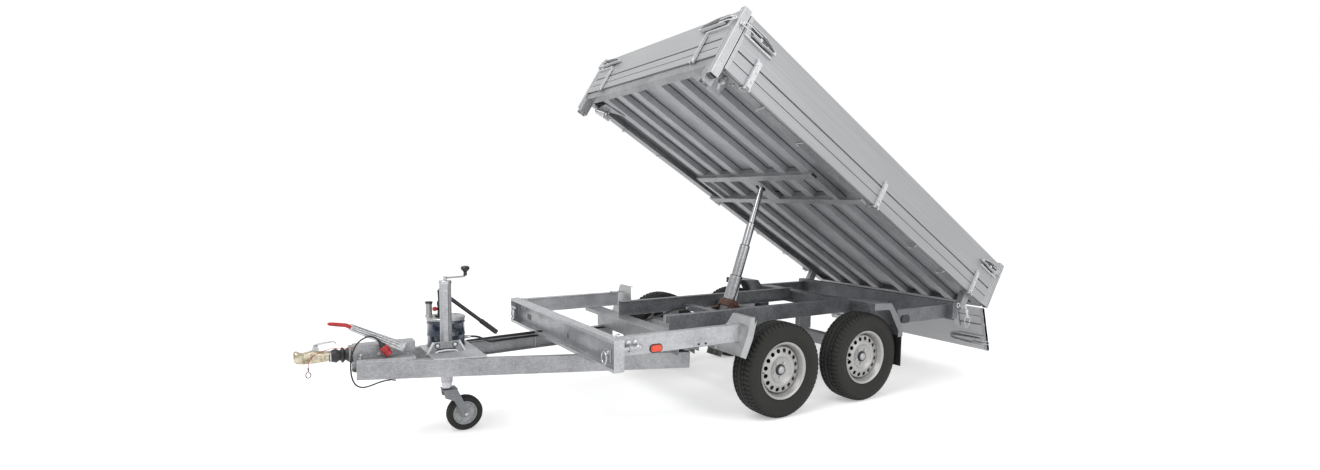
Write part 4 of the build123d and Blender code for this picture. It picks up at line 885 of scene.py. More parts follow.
class TRAILER_OT_pump(bpy.types.Operator):
    """Build the oil tank, its filler neck and the hand pump with its long lever"""
    bl_idname, bl_label = "trailer.pump", "Oil tank and hand pump"

    def execute(self, context):
        x, y = JOCKEY[0] - 0.037, -0.16
        low, top, r = 0.5205, 0.705, 0.118
        body = [(0, low), (r - 0.006, low), (r - 0.002, low + 0.004), (r - 0.002, low + 0.01),
                (r - 0.004, low + 0.012), (r - 0.004, 0.584), (r - 0.0005, 0.588), (r - 0.0005, 0.594),
                (r - 0.004, 0.598), (r - 0.004, 0.662), (r - 0.0005, 0.666), (r - 0.0005, 0.672),
                (r - 0.004, 0.676), (r - 0.004, top - 0.02), (0, top - 0.02)]
        tank = piece("tank_body", [lathe([(a, b) for a, b in body], (x, y, 0), Z, 72)], "tank_enamel",
                     "chassis", sharp=50)
        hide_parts("hand_pump")
        lid = [(0, top - 0.021), (r - 0.0035, top - 0.021), (r, top - 0.017), (r, top - 0.006),
               (r - 0.004, top - 0.001), (r - 0.014, top), (r - 0.018, top - 0.003), (0, top - 0.002)]
        neck = [(0, 0), (0.026, 0), (0.026, 0.006), (0.0205, 0.008), (0.0195, 0.014), (0.019, 0.078),
                (0.0205, 0.08), (0.0205, 0.086), (0, 0.086)]
        lids = [lathe(lid, (x, y, 0), Z, 72), lathe(neck, (x + 0.095, y - 0.036, top - 0.003), Z, 36)]
        for a in np.arange(4) * pi / 2 + 0.6:
            lids.append(hex_bolt((x + 0.09 * cos(a), y + 0.09 * sin(a), top - 0.002), Z, 0.0055))
        piece("tank_lid", lids, "sheet", "chassis")
        cap = [(0, 0), (0.0225, 0), (0.0235, 0.002), (0.0235, 0.009), (0.021, 0.011), (0, 0.0115)]
        piece("filler_cap", [lathe(cap, (x + 0.095, y - 0.036, top + 0.082), Z, 36)], "dark_steel", "chassis")
        # pump: a flanged body, the plunger's barrel, the fork for the lever and the link beside it
        px = x + 0.027
        barrel = [(0, 0), (0.04, 0), (0.04, 0.008), (0.026, 0.011), (0.0235, 0.018), (0.0235, 0.07),
                  (0.0265, 0.074), (0.0265, 0.09), (0.0235, 0.094), (0.0235, 0.1), (0.014, 0.102),
                  (0.011, 0.104), (0.011, 0.135), (0, 0.135)]
        pump = [lathe(barrel, (px, y, top - 0.002), Z, 40)]
        for s in (-1, 1):
            cheek = [(-0.014, 0.098), (0.016, 0.098), (0.018, 0.15),
                     (0.01, 0.176), (-0.006, 0.18), (-0.015, 0.16)]
            pump.append(slab([(px + a, top + b) for a, b in cheek],
                             (0, y + s * 0.0105, 0), X, Z, s * 0.005 * Y))
        pump.append(lathe([(0, -0.019), (0.006, -0.019), (0.006, 0.019), (0, 0.019)],
                          (px + 0.003, y, top + 0.16), Y, 16))
        pump += [hex_bolt((px + 0.003, y + s * 0.0155, top + 0.16), s * Y, 0.0065) for s in (-1, 1)]
        pump.append(lathe([(0, 0), (0.011, 0), (0.011, 0.016), (0.008, 0.018), (0.008, 0.036), (0, 0.036)],
                          (px + 0.006, y + 0.012, top + 0.05), (1, 0.5, 0.1), 20))
        pump.append(wire([(px - 0.02, y + 0.014, top + 0.075), (px - 0.03, y + 0.016, top + 0.11),
                          (px - 0.016, y + 0.014, top + 0.15)], 0.0045, 0.012))
        piece("pump_head", pump, "dark_steel", "chassis", edge=0.0008)
        knob = [(0, 0), (0.01, 0.001), (0.014, 0.006), (0.014, 0.018), (0.011, 0.022), (0, 0.023)]
        piece("release_knob", [lathe(knob, (px + 0.036, y + 0.027, top + 0.0535), (1, 0.5, 0.1), 24)],
              "red_plastic", "chassis")
        slope = radians(40)
        way = np.array((-cos(slope), 0, -sin(slope)))
        at = np.array((px + 0.003, y, top + 0.16))
        rod = [carried(circle(0.0125, 20), [at - 0.012 * way, at + 0.02 * way, at + 0.335 * way]),
               carried(oblong(0.02, 0.03, 0.004), [at - 0.015 * way, at + 0.036 * way], near=Y)]
        lever = piece("pump_lever_rod", rod, "black_plastic", "chassis")
        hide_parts("pump_lever")
        grip = [(0, 0.326), (0.0145, 0.328), (0.0165, 0.334),
                (0.0165, 0.34), (0.0158, 0.344), (0.0168, 0.352)]
        grip += [(0.0168 - 0.001 * (k % 2), 0.352 + 0.006 * k) for k in range(1, 18)]
        grip += [(0.0172, 0.461), (0.013, 0.467), (0, 0.468)]
        piece("pump_lever_grip", [lathe(grip, at, way, 24)], "soft_rubber", "chassis")
        loom = [wire([(1.64, -0.232, 0.505), (1.3, -0.312, 0.499), (0.96, -0.392, 0.489)], 0.0125, 0.02, 14)]
        piece("cable_loom", loom, "cable", "chassis")
        union = [(0, 0), (0.013, 0), (0.013, 0.012), (0.01, 0.014), (0.01, 0.03), (0, 0.03)]
        piece("hose_union", [lathe(union, (x - r + 0.006, y, 0.556), -X, 6)], "bright_zinc", "chassis")
        return {"FINISHED"}


# ---- coupling and overrun unit ------------------------------------------------------------------
DRAW_Z = 0.56                                  # line of the draw tube
NOSE = corners("coupling_head")[1][0]
HOUSING = corners("overrun_housing")


def u_section(x, half, top, foot, n=17):
    """One rib of a pressed shell: a half superellipse over the top, then straight down to its foot."""
    t = np.linspace(0, pi, n)
    y = half * np.sign(np.cos(t)) * np.abs(np.cos(t)) ** 0.62
    z = DRAW_Z + (top - DRAW_Z) * np.abs(np.sin(t)) ** 0.62
    y, z = np.r_[half, y, -half], np.r_[foot, z, foot]
    return np.stack([np.full(n + 2, x), y, z], 1)


class TRAILER_OT_coupling(bpy.types.Operator):
    """Build the pressed ball coupling with its handle, and the bellows behind it"""
    bl_idname, bl_label = "trailer.coupling", "Ball coupling"

    def execute(self, context):
        back = NOSE - 0.1915
        stations = [(0.0, 0.026, 0.585, 0.53), (0.045, 0.027, 0.586, 0.53), (0.07, 0.032, 0.597, 0.529),
                    (0.085, 0.034, 0.599, 0.529), (0.11, 0.035, 0.59, 0.53), (0.14, 0.038, 0.586, 0.531),
                    (0.155, 0.038, 0.594, 0.534), (0.166, 0.035, 0.602, 0.538), (0.174, 0.03, 0.598, 0.543),
                    (0.178, 0.024, 0.59, 0.547)]
        rings = np.array([u_section(back + a, b, c, d) for a, b, c, d in stations])
        shell = piece("coupling_shell", [skin(rings)], "yellow_zinc", "chassis", wall=0.0035,
                      sharp=60, smooth=2)
        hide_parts("coupling_head")
        parts = [lathe([(0, 0), (0.024, 0), (0.024, 0.15), (0, 0.15)],
                       (back - 0.1, 0, DRAW_Z - 0.004), X, 36)]
        parts.append(lathe([(0.0262, -0.02), (0.034, 0.0), (0.033, 0.012), (0.0262, 0.02)],
                           (NOSE - 0.048, 0, DRAW_Z - 0.006), Z, 36, True))
        for bx, half in ((0.035, 0.0275), (0.1, 0.0355)):
            for s in (-1, 1):
                parts.append(hex_bolt((back + bx, s * half, DRAW_Z - 0.006), s * Y, 0.0085))
        piece("coupling_draw_tube", parts, "yellow_zinc", "chassis")
        # the handle: two cheeks up from the head, a cross pin, and the long pressed grip laid rearward
        foot = NOSE - 0.122
        metal = []
        for s in (-1, 1):
            cheek = [(-0.012, 0.58), (0.02, 0.58), (0.014, 0.612),
                     (0.01, 0.626), (-0.008, 0.628), (-0.016, 0.606)]
            metal.append(slab([(foot + a, b) for a, b in cheek], (0, s * 0.0095, 0), X, Z, s * 0.003 * Y))
        grip = [(0.008, 0.612), (0.006, 0.63), (-0.02, 0.635), (-0.07, 0.6395), (-0.09, 0.641),
                (-0.101, 0.634), (-0.106, 0.619), (-0.102, 0.617), (-0.097, 0.628), (-0.089, 0.6355),
                (-0.07, 0.6335), (-0.02, 0.627), (-0.002, 0.618)]
        metal.append(slab([(foot + a, b) for a, b in grip], (0, -0.0125, 0), X, Z, 0.025 * Y))
        metal += [hex_bolt((foot + 0.002, s * 0.0125, 0.616), s * Y, 0.006) for s in (-1, 1)]
        piece("coupling_handle", metal, "bright_zinc", "chassis", edge=0.0012)
        # bellows: three folds, each wider than the one before it, between two collars
        rear, front = HOUSING[1][0] - 0.028, back + 0.004
        knots = [(0.0, 0.041), (0.01, 0.046), (0.0135, 0.052), (0.018, 0.0505), (0.042, 0.031),
                 (0.046, 0.0315), (0.057, 0.0455), (0.061, 0.0445), (0.071, 0.0295), (0.075, 0.03),
                 (0.09, 0.04), (0.095, 0.0395), (0.12, 0.031), (0.127, 0.031)]
        profile = [(0.0255, rear)] + [(r, rear + d) for d, r in knots] + [(0.0255, front)]
        boot = lathe([(a, b - rear) for a, b in profile], (rear, 0, DRAW_Z - 0.005), X, 64, True)
        clip = [lathe([(0.0312, -0.003), (0.0322, -0.003), (0.0322, 0.003), (0.0312, 0.003)],
                      (front - 0.006, 0, DRAW_Z - 0.005), X, 48, True)]
        piece("bellows", [boot], "soft_rubber", "chassis", sharp=60)
        piece("bellows_clip", clip, "bright_zinc", "chassis")
        return {"FINISHED"}


class TRAILER_OT_handbrake(bpy.types.Operator):
    """Build the folded handbrake lever with its red grip, and the fittings of the overrun unit"""
    bl_idname, bl_label = "trailer.handbrake", "Handbrake and overrun fittings"

    def execute(self, context):
        climb = radians(27)
        way, rise = np.array((cos(climb), 0, sin(climb))), np.array((-sin(climb), 0, cos(climb)))
        at = np.array((2.0165, 0.056, 0.588))
        # a folded lever that narrows forward: a web on top, two cheeks, three pressed ribs along each
        metal = []
        for k in (0, 1):
            metal.append(slab([(-0.02, -0.026), (0.3, -0.017), (0.306, 0.012), (0.3, 0.019), (-0.02, 0.026)],
                              (0, 0, 0.002 + 0.017 * k), X, Y, 0.0028 * Z))
            for h in (-0.62, -0.08, 0.46):
                rib = [(0.02, h * 0.026, 0.0195 * k + 0.002), (0.15, h * 0.0225, 0.0195 * k + 0.002),
                       (0.285, h * 0.0185, 0.0195 * k + 0.002)]
                metal.append(carried(oblong(0.0072, 0.005, 0.002), rib, near=Y))
        metal.append(slab(oblong(0.32, 0.0198), (0.14, 0.0165, 0.0119), X, Z, (-0.008, 0.0025, 0)))
        lever = piece("handbrake_cheeks", [moved(joined(metal), at, [way, rise, Y])],
                      "bright_zinc", "chassis", edge=0.0005)
        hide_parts("handbrake_lever")
        # the grip lies flatter than the lever
        flat = radians(10)
        start_at = at + 0.296 * way + 0.012 * Y + 0.002 * rise
        tail = np.array((cos(flat), 0, sin(flat)))
        line = np.array([start_at] + [start_at + 0.03 * way + d * tail
                                      for d in (0, 0.02, 0.06, 0.082, 0.092)])
        grip = carried(oblong(0.022, 0.026, 0.008), line, scale=[1.05, 1, 1.0, 0.94, 0.86, 0.4])
        piece("handbrake_grip", [grip], "red_plastic", "chassis", sharp=50)
        # dark strips on the lever's face, between its ribs: painted shade for the grooves
        lines = [slab([(0.01, h * 0.026), (0.285, h * 0.0185), (0.285, h * 0.0185 + 0.0026),
                       (0.01, h * 0.026 + 0.0026)], (0, 0, 0.0219), X, Y,
                      0.0006 * Z) for h in (-0.4, 0.16, 0.7)]
        piece("handbrake_grooves", [moved(joined(lines), at, [way, rise, Y])], "latch_steel", "chassis")
        # overrun unit: bolts through the rails, the knob bracket
        low, high = HOUSING
        bolts = [hex_bolt((x, s * 0.05, DRAW_Z - 0.01), s * Y, 0.0085)
                 for x in (low[0] + 0.05, low[0] + 0.2, high[0] - 0.06)
                 for s in (-1, 1) if not (s == 1 and x < 2.05)]
        bolts += [hex_bolt((x, y, 0.54), Z, 0.009)
                  for x in (low[0] + 0.05, high[0] - 0.05) for y in (-0.085, 0.085)]
        piece("overrun_bolts", bolts, "bright_zinc", "chassis")
        knob = [(0, 0), (0.011, 0), (0.016, 0.004), (0.0165, 0.014), (0.012, 0.019), (0, 0.02)]
        piece("bracket_knob", [lathe(knob, (1.9435, -0.052, 0.575), (0.15, 1, 0.1), 24)], "black_plastic",
              "chassis")
        return {"FINISHED"}


# ---- cords ----------------------------------------------------------------------------------------
CABLE = [(2.0765, 0.128, 0.41), (2.1175, 0.128, 0.41), (2.1605, 0.117, 0.397), (2.2005, 0.102, 0.38),
         (2.2345, 0.09, 0.374), (2.2635, 0.082, 0.388), (2.2805, 0.077, 0.42), (2.2875, 0.075, 0.462),
         (2.2885, 0.076, 0.508), (2.2835, 0.078, 0.552), (2.2725, 0.081, 0.594), (2.2515, 0.085, 0.633),
         (2.2195, 0.089, 0.659), (2.1825, 0.094, 0.668), (2.1525, 0.097, 0.655), (2.1355, 0.099, 0.628)]
SAFETY = [(2.2665, 0.047, 0.601), (2.3045, 0.047, 0.601), (2.3445, 0.044, 0.607), (2.3845, 0.042, 0.606),
          (2.4225, 0.042, 0.598), (2.4575, 0.044, 0.585), (2.4845, 0.047, 0.562), (2.4965, 0.049, 0.532),
          (2.4965, 0.049, 0.504)]
HOSE = [(1.5765, -0.16, 0.556), (1.5195, -0.16, 0.556), (1.4545, -0.2, 0.52), (1.3945, -0.258, 0.482),
        (1.3145, -0.311, 0.476), (0.5345, -0.493, 0.451), (0.3745, -0.53, 0.444), (0.2845, -0.524, 0.44),
        (0.1845, -0.45, 0.468), (0.0845, -0.34, 0.515), (-0.0155, -0.285, 0.56), (-0.1055, -0.275, 0.588),
        (-0.2195, -0.275, 0.588)]


def cord_curve(name, route, radius, material, node):
    """A smooth curve of order three with the route's points as its control points, given a round skin."""
    data = bpy.data.curves.new(name, "CURVE")
    data.dimensions = "3D"
    data.bevel_depth, data.bevel_resolution, data.resolution_u = radius, 4, 10
    data.use_fill_caps = True
    spline = data.splines.new("NURBS")
    spline.points.add(len(route) - 1)
    spline.points.foreach_set("co", np.array([(*p, 1) for p in route]).ravel())
    spline.order_u, spline.use_endpoint_u = 3, True
    data.materials.append(material)
    cord = bpy.data.objects.new(name, data)
    bpy.context.scene.collection.objects.link(cord)
    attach(cord, "chassis")
    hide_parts(node)
    return cord


class TRAILER_OT_cords(bpy.types.Operator):
    """Lay the lighting cable with its plug, the safety cable with its snap hook, and the oil hose"""
    bl_idname, bl_label = "trailer.cords", "Cables and hose"

    def execute(self, context):
        end, before = np.array(CABLE[-1]), np.array(CABLE[-2])
        way = (end - before) / np.linalg.norm(end - before)
        boot = [(0, -0.01), (0.0065, -0.01), (0.0085, 0.0), (0.0115, 0.01), (0.0145, 0.016), (0.0155, 0.024),
                (0.016, 0.032), (0, 0.032)]
        sleeve = piece("plug_boot", [lathe(boot, end, way, 32)], "soft_rubber", "chassis")
        shell = [(0, 0.03), (0.0165, 0.03), (0.0205, 0.035), (0.0235, 0.043), (0.024, 0.048), (0.024, 0.062),
                 (0.0215, 0.065), (0.021, 0.078), (0.0225, 0.081), (0.0225, 0.088),
                 (0.0195, 0.089), (0.0195, 0.083), (0, 0.083)]
        first, second = axes_on(way)[:2]
        ribs = []
        for a in np.arange(10) * 2 * pi / 10:
            side = first * cos(a) + second * sin(a)
            ribs.append(slab(oblong(0.005, 0.0035, 0.001), end + way * 0.048 + 0.024 * side,
                             np.cross(way, side), side, 0.014 * way))
        plug = piece("plug_shell", [lathe(shell, end, way, 40)] + ribs, "red_plastic", "chassis", edge=0.0004)
        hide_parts("cable_plug")
        cable = cord_curve("lighting_cable", CABLE, 0.0044, FINISH["cable"], "electric_cable")
        # snap hook: a bent spring wire with two loops
        x, y, z = SAFETY[-1]
        hook = [wire([(x, y, z + 0.004), (x, y, z - 0.014), (x - 0.013, y, z - 0.026),
                      (x - 0.011, y, z - 0.044), (x + 0.002, y, z - 0.05), (x + 0.013, y, z - 0.04),
                      (x + 0.012, y, z - 0.022), (x + 0.003, y, z - 0.012)], 0.0026, 0.009, 12)]
        hook.append(lathe([(0, -0.006), (0.0036, -0.006), (0.0036, 0.01), (0, 0.01)], (x, y, z), Z, 16))
        snap = piece("snap_hook", hook, "primer", "chassis", "yellow_zinc")
        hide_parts("breakaway_hook")
        safety = cord_curve("safety_cable", SAFETY, 0.0018,
                            FINISH["red_plastic"], "breakaway_cable")
        cord_curve("oil_hose", HOSE, 0.007, FINISH["cable"], "hydraulic_hose")
        ferrule = [(0, 0), (0.0095, 0), (0.0095, 0.02), (0.0085, 0.024), (0, 0.024)]
        ferrules = [lathe(ferrule, HOSE[0], -X, 24),
                    lathe(ferrule, np.array(HOSE[-1]) + (0.0002, 0, 0), X, 24)]
        piece("hose_ferrules", ferrules, "bright_zinc", "chassis")
        return {"FINISHED"}


# ---- frame fittings -------------------------------------------------------------------------------
RAIL_FACE = 0.836                               # outer face of the side rails
LOCK_PIN_Y, LOCK_WIRE_Y = 0.893, 0.902          # rear lock pin and the wire loop outside it


class TRAILER_OT_fittings(bpy.types.Operator):
    """Build the frame's bolts, side markers, lashing eyes, rear lock pins, hose tie and rail caps"""
    bl_idname, bl_label = "trailer.fittings", "Frame fittings"

    def execute(self, context):
        nose_high = corners("front_crossmember")[1]
        for name, side in SIDES:
            rail_low, rail_high = corners(f"{name}_front_rail")
            face = side * max(abs(rail_low[1]), abs(rail_high[1]))
            at = (1.383 - 0.6455, face, 0.588)
            lens = slab(oblong(0.074, 0.04, 0.018, 8), at, X, Z, side * 0.01 * Y)
            dome = slab(oblong(0.058, 0.026, 0.011, 8),
                        np.array(at) + (0, side * 0.01, 0), X, Z, side * 0.003 * Y)
            piece(f"{name}_side_marker", [lens, dome], "amber", "chassis", edge=0.002)
            base = slab(oblong(0.088, 0.052, 0.024, 8), at, X, Z, side * 0.004 * Y)
            piece(f"{name}_marker_base", [base], "black_plastic", "chassis", edge=0.0012)
            bolts = [hex_bolt((x, face, z), side * Y, 0.007) for x, z in
                     ((rail_low[0] + 0.045, 0.585), (rail_low[0] + 0.085, 0.588))]
            guard_low = corners(f"front_{name}_mudguard")[0]
            y0 = side * 0.815
            bolts += [hex_bolt((guard_low[0] + dx, y0, 0.6772), Z, 0.0075) for dx in (0.098, 0.17)]
            piece(f"{name}_rail_bolts", bolts, "bright_zinc", "chassis")
            oval = slab(oblong(0.094, 0.06, 0.029, 8),
                        (-1.476, side * RAIL_FACE, 0.568), X, Z, side * 0.012 * Y)
            piece(f"{name}_rear_marker", [oval], "black_plastic", "chassis", edge=0.002)
            # by the tipping hinge: the ball's ring, and the lock pin with its wire loop
            pin = [lathe([(0.0125, -0.004), (0.0195, -0.004), (0.0195, 0.004), (0.0125, 0.004)],
                         (-2.045, side * LOCK_PIN_Y, 0.64), Y, 32, True),
                   wire([(-2.136, side * LOCK_PIN_Y, 0.64), (-2.158, side * LOCK_PIN_Y, 0.588),
                         (-2.184, side * LOCK_PIN_Y, 0.526)], 0.0085, 0.02, 14),
                   lathe([(0, 0), (0.014, 0), (0.014, 0.028), (0, 0.028)],
                         (-2.154, side * LOCK_PIN_Y, 0.6), (-0.38, 0, -1), 24),
                   wire([(-2.17, side * LOCK_WIRE_Y, 0.56), (-2.205, side * LOCK_WIRE_Y, 0.52),
                         (-2.18, side * LOCK_WIRE_Y, 0.455), (-2.15, side * LOCK_WIRE_Y, 0.448),
                         (-2.128, side * LOCK_WIRE_Y, 0.51),
                         (-2.165, side * LOCK_WIRE_Y, 0.565)], 0.0022, 0.012, 8)]
            piece(f"{name}_lock_pin", pin, "strap_zinc", "chassis", edge=0.0005)
            flap_low, flap_high = corners(f"{name}_mud_flap")
            flap = [hex_bolt((flap_low[0], y, 0.5), -X, 0.0075)
                    for y in np.linspace(flap_low[1] + 0.03, flap_high[1] - 0.03, 4)]
            piece(f"{name}_flap_bolts", flap, "bright_zinc", "chassis")
        # two domed caps along each side rail, and two dark plates on it that paint the shade in its drain
        # holes
        for name, side in SIDES:
            face = side * RAIL_FACE
            caps = [lathe([(0, 0), (0.0225, 0), (0.0225, 0.002), (0.019, 0.0045), (0.01, 0.006), (0, 0.0065)],
                          (x, face, 0.63), side * Y, 32) for x in (0.918, 0.873)]
            piece(f"{name}_rail_caps", caps, "bright_zinc", "chassis")
            holes = [slab(oblong(0.02, 0.012, 0.0055, 6), (x, face, 0.578), X, Z,
                          side * 0.0006 * Y) for x in (0.432, 0.38)]
            piece(f"{name}_rail_hole_shade", holes, "dark_steel", "chassis")
        # crossmember: dark plates on its web that paint the shade in its slots, studs on its top, a lashing
        # eye by each end
        x, top = nose_high[0], nose_high[2]
        slots = [slab(oblong(wide, high, 0.004), (x, y, z), Y, Z, 0.0008 * X)
                 for y, z, wide, high in ((-0.755, 0.59, 0.055, 0.036),
                                          (-0.47, 0.59, 0.082, 0.04), (0.242, 0.582, 0.016, 0.032))]
        piece("crossmember_slots", slots, "dark_steel", "chassis")
        studs = [dome_bolt((x - dx, y, top), Z, 0.014)
                 for dx, y in ((0.05, -0.8), (0.09, -0.76), (0.05, 0.8), (0.09, 0.76))]
        piece("crossmember_studs", studs, "bright_zinc", "chassis")
        t = np.linspace(0, 2 * pi, 33)[:-1]
        for name, side in SIDES:
            y, z = side * 0.83, 0.59
            ring = np.stack([np.full(32, x + 0.016),
                             y - side * 0.03 + 0.03 * np.cos(t), z - 0.03 + 0.034 * np.sin(t)], 1)
            eye = [carried(circle(0.0058, 12), ring, near=X, loop=True),
                   slab([(y - side * 0.075, z + 0.028), (y + side * 0.035, z + 0.028),
                         (y + side * 0.035, z - 0.045), (y - side * 0.02, z - 0.045)], (x, 0, 0), Y, Z,
                        0.006 * X), hex_bolt((x + 0.006, y, z + 0.006), X, 0.012)]
            piece(f"{name}_lashing_eye", eye, "bright_zinc", "chassis", edge=0.0006)
        # cable tie round the far drawbar rail, near the crossmember
        tie = bent([(1.036, -0.425, 0.372), (1.032, -0.446, 0.502),
                    (1.03, -0.392, 0.502), (1.03, -0.385, 0.372)], 0.01)
        piece("hose_tie", [carried(oblong(0.0022, 0.007), tie, near=X)], "white_tie", "chassis")
        return {"FINISHED"}


class TRAILER_OT_bed_fittings(bpy.types.Operator):
    """Build the rope hooks, the locking pins and the bolts under the bed"""
    bl_idname, bl_label = "trailer.bed_fittings", "Bed fittings"

    def execute(self, context):
        hooks, locks, tongues, gussets, dark = [], [], [], [], []
        for _, side in SIDES:
            for u in (2.56, 2.17, 0.82, 0.42):
                low = 0.117 if u == 2.17 else 0.106     # flatter over the mudguard
                path = [on_bed(u, side * 0.934, 0.121), on_bed(u, side * 0.918, low + 0.002),
                        on_bed(u, side * 0.868, low), on_bed(u - 0.012, side * 0.852, low),
                        on_bed(u - 0.026, side * 0.868, low)]
                hooks.append(wire(path, 0.0042, 0.01, 10))
            # by each front corner a gusset closes the edge frame's angle, with the locking pin's barrel on it
            gusset = [(2.89, 0.683), (2.868, 0.874), (2.716, 0.64)]
            gussets.append(slab([(u, side * y) for u, y in gusset],
                                on_bed(0, 0, 0.1231), BED_U, Y, -0.004 * BED_W))
            # a dark plate beside the gusset, under the floor: painted shade
            dark.append(slab([(2.89, side * 0.684), (2.924, side * 0.684), (2.924, side * 0.862),
                              (2.872, side * 0.862)], on_bed(0, 0, 0.1741), BED_U, Y, -0.0012 * BED_W))
            at = on_bed(2.872, side * 0.872, 0.096)
            way = on_bed(2.757, side * 0.705, 0.096) - at
            way /= np.linalg.norm(way)
            locks.append(lathe([(0, 0), (0.011, 0), (0.011, 0.012), (0.023, 0.014), (0.023, 0.098),
                                (0.015, 0.1), (0.015, 0.118), (0, 0.118)], at, way, 28))
            locks.append(slab(oblong(0.12, 0.045, 0.008), at + 0.06 * way + 0.017 * BED_W, way,
                              np.cross(BED_W, way), 0.006 * BED_W))
            locks.append(wire([at + 0.05 * way - 0.02 * BED_W, at + 0.055 * way - 0.03 * BED_W,
                               at + 0.08 * way - 0.031 * BED_W], 0.0035, 0.006))
            locks += [hex_bolt(on_bed(u, side * y, 0.119), -BED_W, 0.0075) for u, y in
                      ((2.888, 0.872), (2.864, 0.884), (2.79, 0.872), (2.8, 0.845))]
            # rounded tongue of each hinge under the edge frame
            tongues += [slab(oblong(0.052, 0.062, 0.022, 6), on_bed(u, side * 0.912, 0.1232), BED_U, Y,
                             -0.004 * BED_W) for u in (0.05, 1.372, 2.737)]
        piece("hinge_tongues", tongues, "bright_zinc", "bed", edge=0.0005)
        piece("corner_gussets", gussets, "section", "bed", edge=0.0005)
        # dark strips where each rib meets the floor: painted shade; plates close the gaps between ribs over
        # the beams, each with a dark strip of painted shade along its edge at the floor
        (u0, _, _), (u1, _, _) = bed_corners("bed_floor")
        for k in range(3):
            for side in (-1, 1):
                y = side * (0.163 + 0.237 * k)
                for edge in (-0.045, 0.045):
                    dark.append(slab(oblong(u1 - u0 - 0.12, 0.006),
                                     on_bed((u0 + u1) / 2, y + edge, 0.1747), BED_U, Y, -0.0035 * BED_W))
        closers = []
        under_floor, rib_low = 0.1745, 0.127
        for u in (1.8305, 1.4955):
            for low, top in ((-0.119, 0.119), (0.207, 0.356), (-0.356, -0.207),
                             (0.444, 0.593), (-0.593, -0.444)):
                closers.append(slab([(low, under_floor), (low - 0.004, rib_low), (top + 0.004, rib_low),
                                     (top, under_floor)], on_bed(u, 0, 0), Y, BED_W, 0.003 * BED_U))
                dark.append(slab(oblong(top - low, 0.005),
                                 on_bed(u + 0.003, (low + top) / 2, 0.1715), Y, BED_W, 0.0015 * BED_U))
        piece("rib_closers", closers, "section", "bed")
        # a small dark plate on each side of the bed: painted shade
        for side in (-1, 1):
            dark.append(slab(oblong(0.052, 0.019),
                             on_bed(1.8, side * 0.71, 0.1135), BED_U, BED_W, side * 0.0012 * Y))
        piece("seam_beads", dark, "soft_rubber", "bed")
        piece("rope_hooks", hooks, "bright_zinc", "bed")
        piece("locking_pins", locks, "bright_zinc", "bed", edge=0.0005)
        bolts, edges = [], []
        for node in ("front_left_post", "front_right_post", "rear_left_post", "rear_right_post"):
            (u0, y0, w0), (u1, y1, w1) = bed_corners(node)
            side = 1 if y0 > 0 else -1
            out = u1 if "front" in node else u0
            face = max(abs(y0), abs(y1)) * side
            # bright strips down the posts' edges: painted highlight
            edges += [slab(oblong(0.0045, w1 - w0 - 0.004), on_bed(u, face, (w0 + w1) / 2), BED_U, BED_W,
                           side * 0.0025 * Y) for u in (u0 + 0.004, u1 - 0.004)]
            for w in (w0 + 0.1, w1 - 0.03):
                bolts.append(dome_bolt(on_bed((u0 + u1) / 2, face, w), side * Y, 0.006))
                bolts.append(dome_bolt(on_bed(out, (y0 + y1) / 2, w),
                                       (1 if "front" in node else -1) * BED_U, 0.006))
        piece("post_edges", edges, "strap_zinc", "bed", edge=0.0005)
        piece("post_bolts", bolts, "bright_zinc", "bed")
        return {"FINISHED"}


class TRAILER_OT_cylinder(bpy.types.Operator):
    """Build the wiper rings at the tops of the cylinder's stages and the cover over the rod's ball"""
    bl_idname, bl_label = "trailer.cylinder", "Tipping cylinder trim"

    def execute(self, context):
        base = pin_of("cylinder_lean")
        way = np.array(JOINTS["stage_1_slide"]["axis"])
        for body, radius, top, inner in (("cylinder_stage_1", 0.05, 0.222, 0.0415),
                                         ("cylinder_stage_2", 0.0405, 0.473, 0.034),
                                         ("cylinder_stage_3", 0.033, 0.659, 0.024)):
            ring = [(inner, 0.0), (radius - 0.0005, 0.0), (radius - 0.0005, 0.0035),
                    (radius - 0.002, 0.005), (inner, 0.005)]
            wiper = lathe(ring, base + top * way, way, 56, True)
            piece(body + "_wiper", [wiper], "dark_steel", body, "ground_steel")
        gland = [(0.0515, -0.016), (0.0595, -0.016), (0.0605, 0.0), (0.057, 0.004), (0.0515, 0.004)]
        piece("barrel_gland", [lathe(gland, base + 0.03 * way, way, 56, True)], "primer", "cylinder_barrel")
        # the cradle: two ears with round tops on a foot plate, and the collar that hangs between them
        ears = []
        t = np.linspace(0, pi, 13)
        low = corners("cylinder_cradle")[0][2]
        for s in (-1, 1):
            ear = [(base[0] + 0.06, low)] + [(base[0] + 0.03 * cos(a), base[2] + 0.028 * sin(a))
                                             for a in t] + [(base[0] - 0.06, low)]
            ears.append(slab(ear, (0, s * 0.076, 0), X, Z, s * 0.012 * Y))
            ears.append(lathe([(0, 0), (0.017, 0), (0.017, 0.006), (0.012, 0.009),
                               (0, 0.009)], base + s * 0.088 * Y, s * Y, 28))
            ears.append(slab(oblong(0.2, 0.036, 0.006), (base[0], s * 0.078, low), X, Y, 0.009 * Z))
        cradle = piece("cradle_ears", ears, "primer", "chassis", edge=0.001)
        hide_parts("cylinder_cradle")
        collar = [(0.0575, -0.026), (0.066, -0.026), (0.071, -0.02),
                  (0.071, 0.014), (0.066, 0.02), (0.0575, 0.02)]
        piece("trunnion_collar", [lathe(collar, base, way, 56, True)], "primer", "cylinder_barrel")
        cup = [(0.0326, 0.014), (0.04, 0.014), (0.046, 0.011), (0.048, 0.004),
               (0.046, -0.003), (0.0345, -0.004)]
        piece("lift_ball_cup", [lathe(cup, on_bed(1.664, 0, 0.112), BED_W, 40, True)], "primer", "bed")
        return {"FINISHED"}


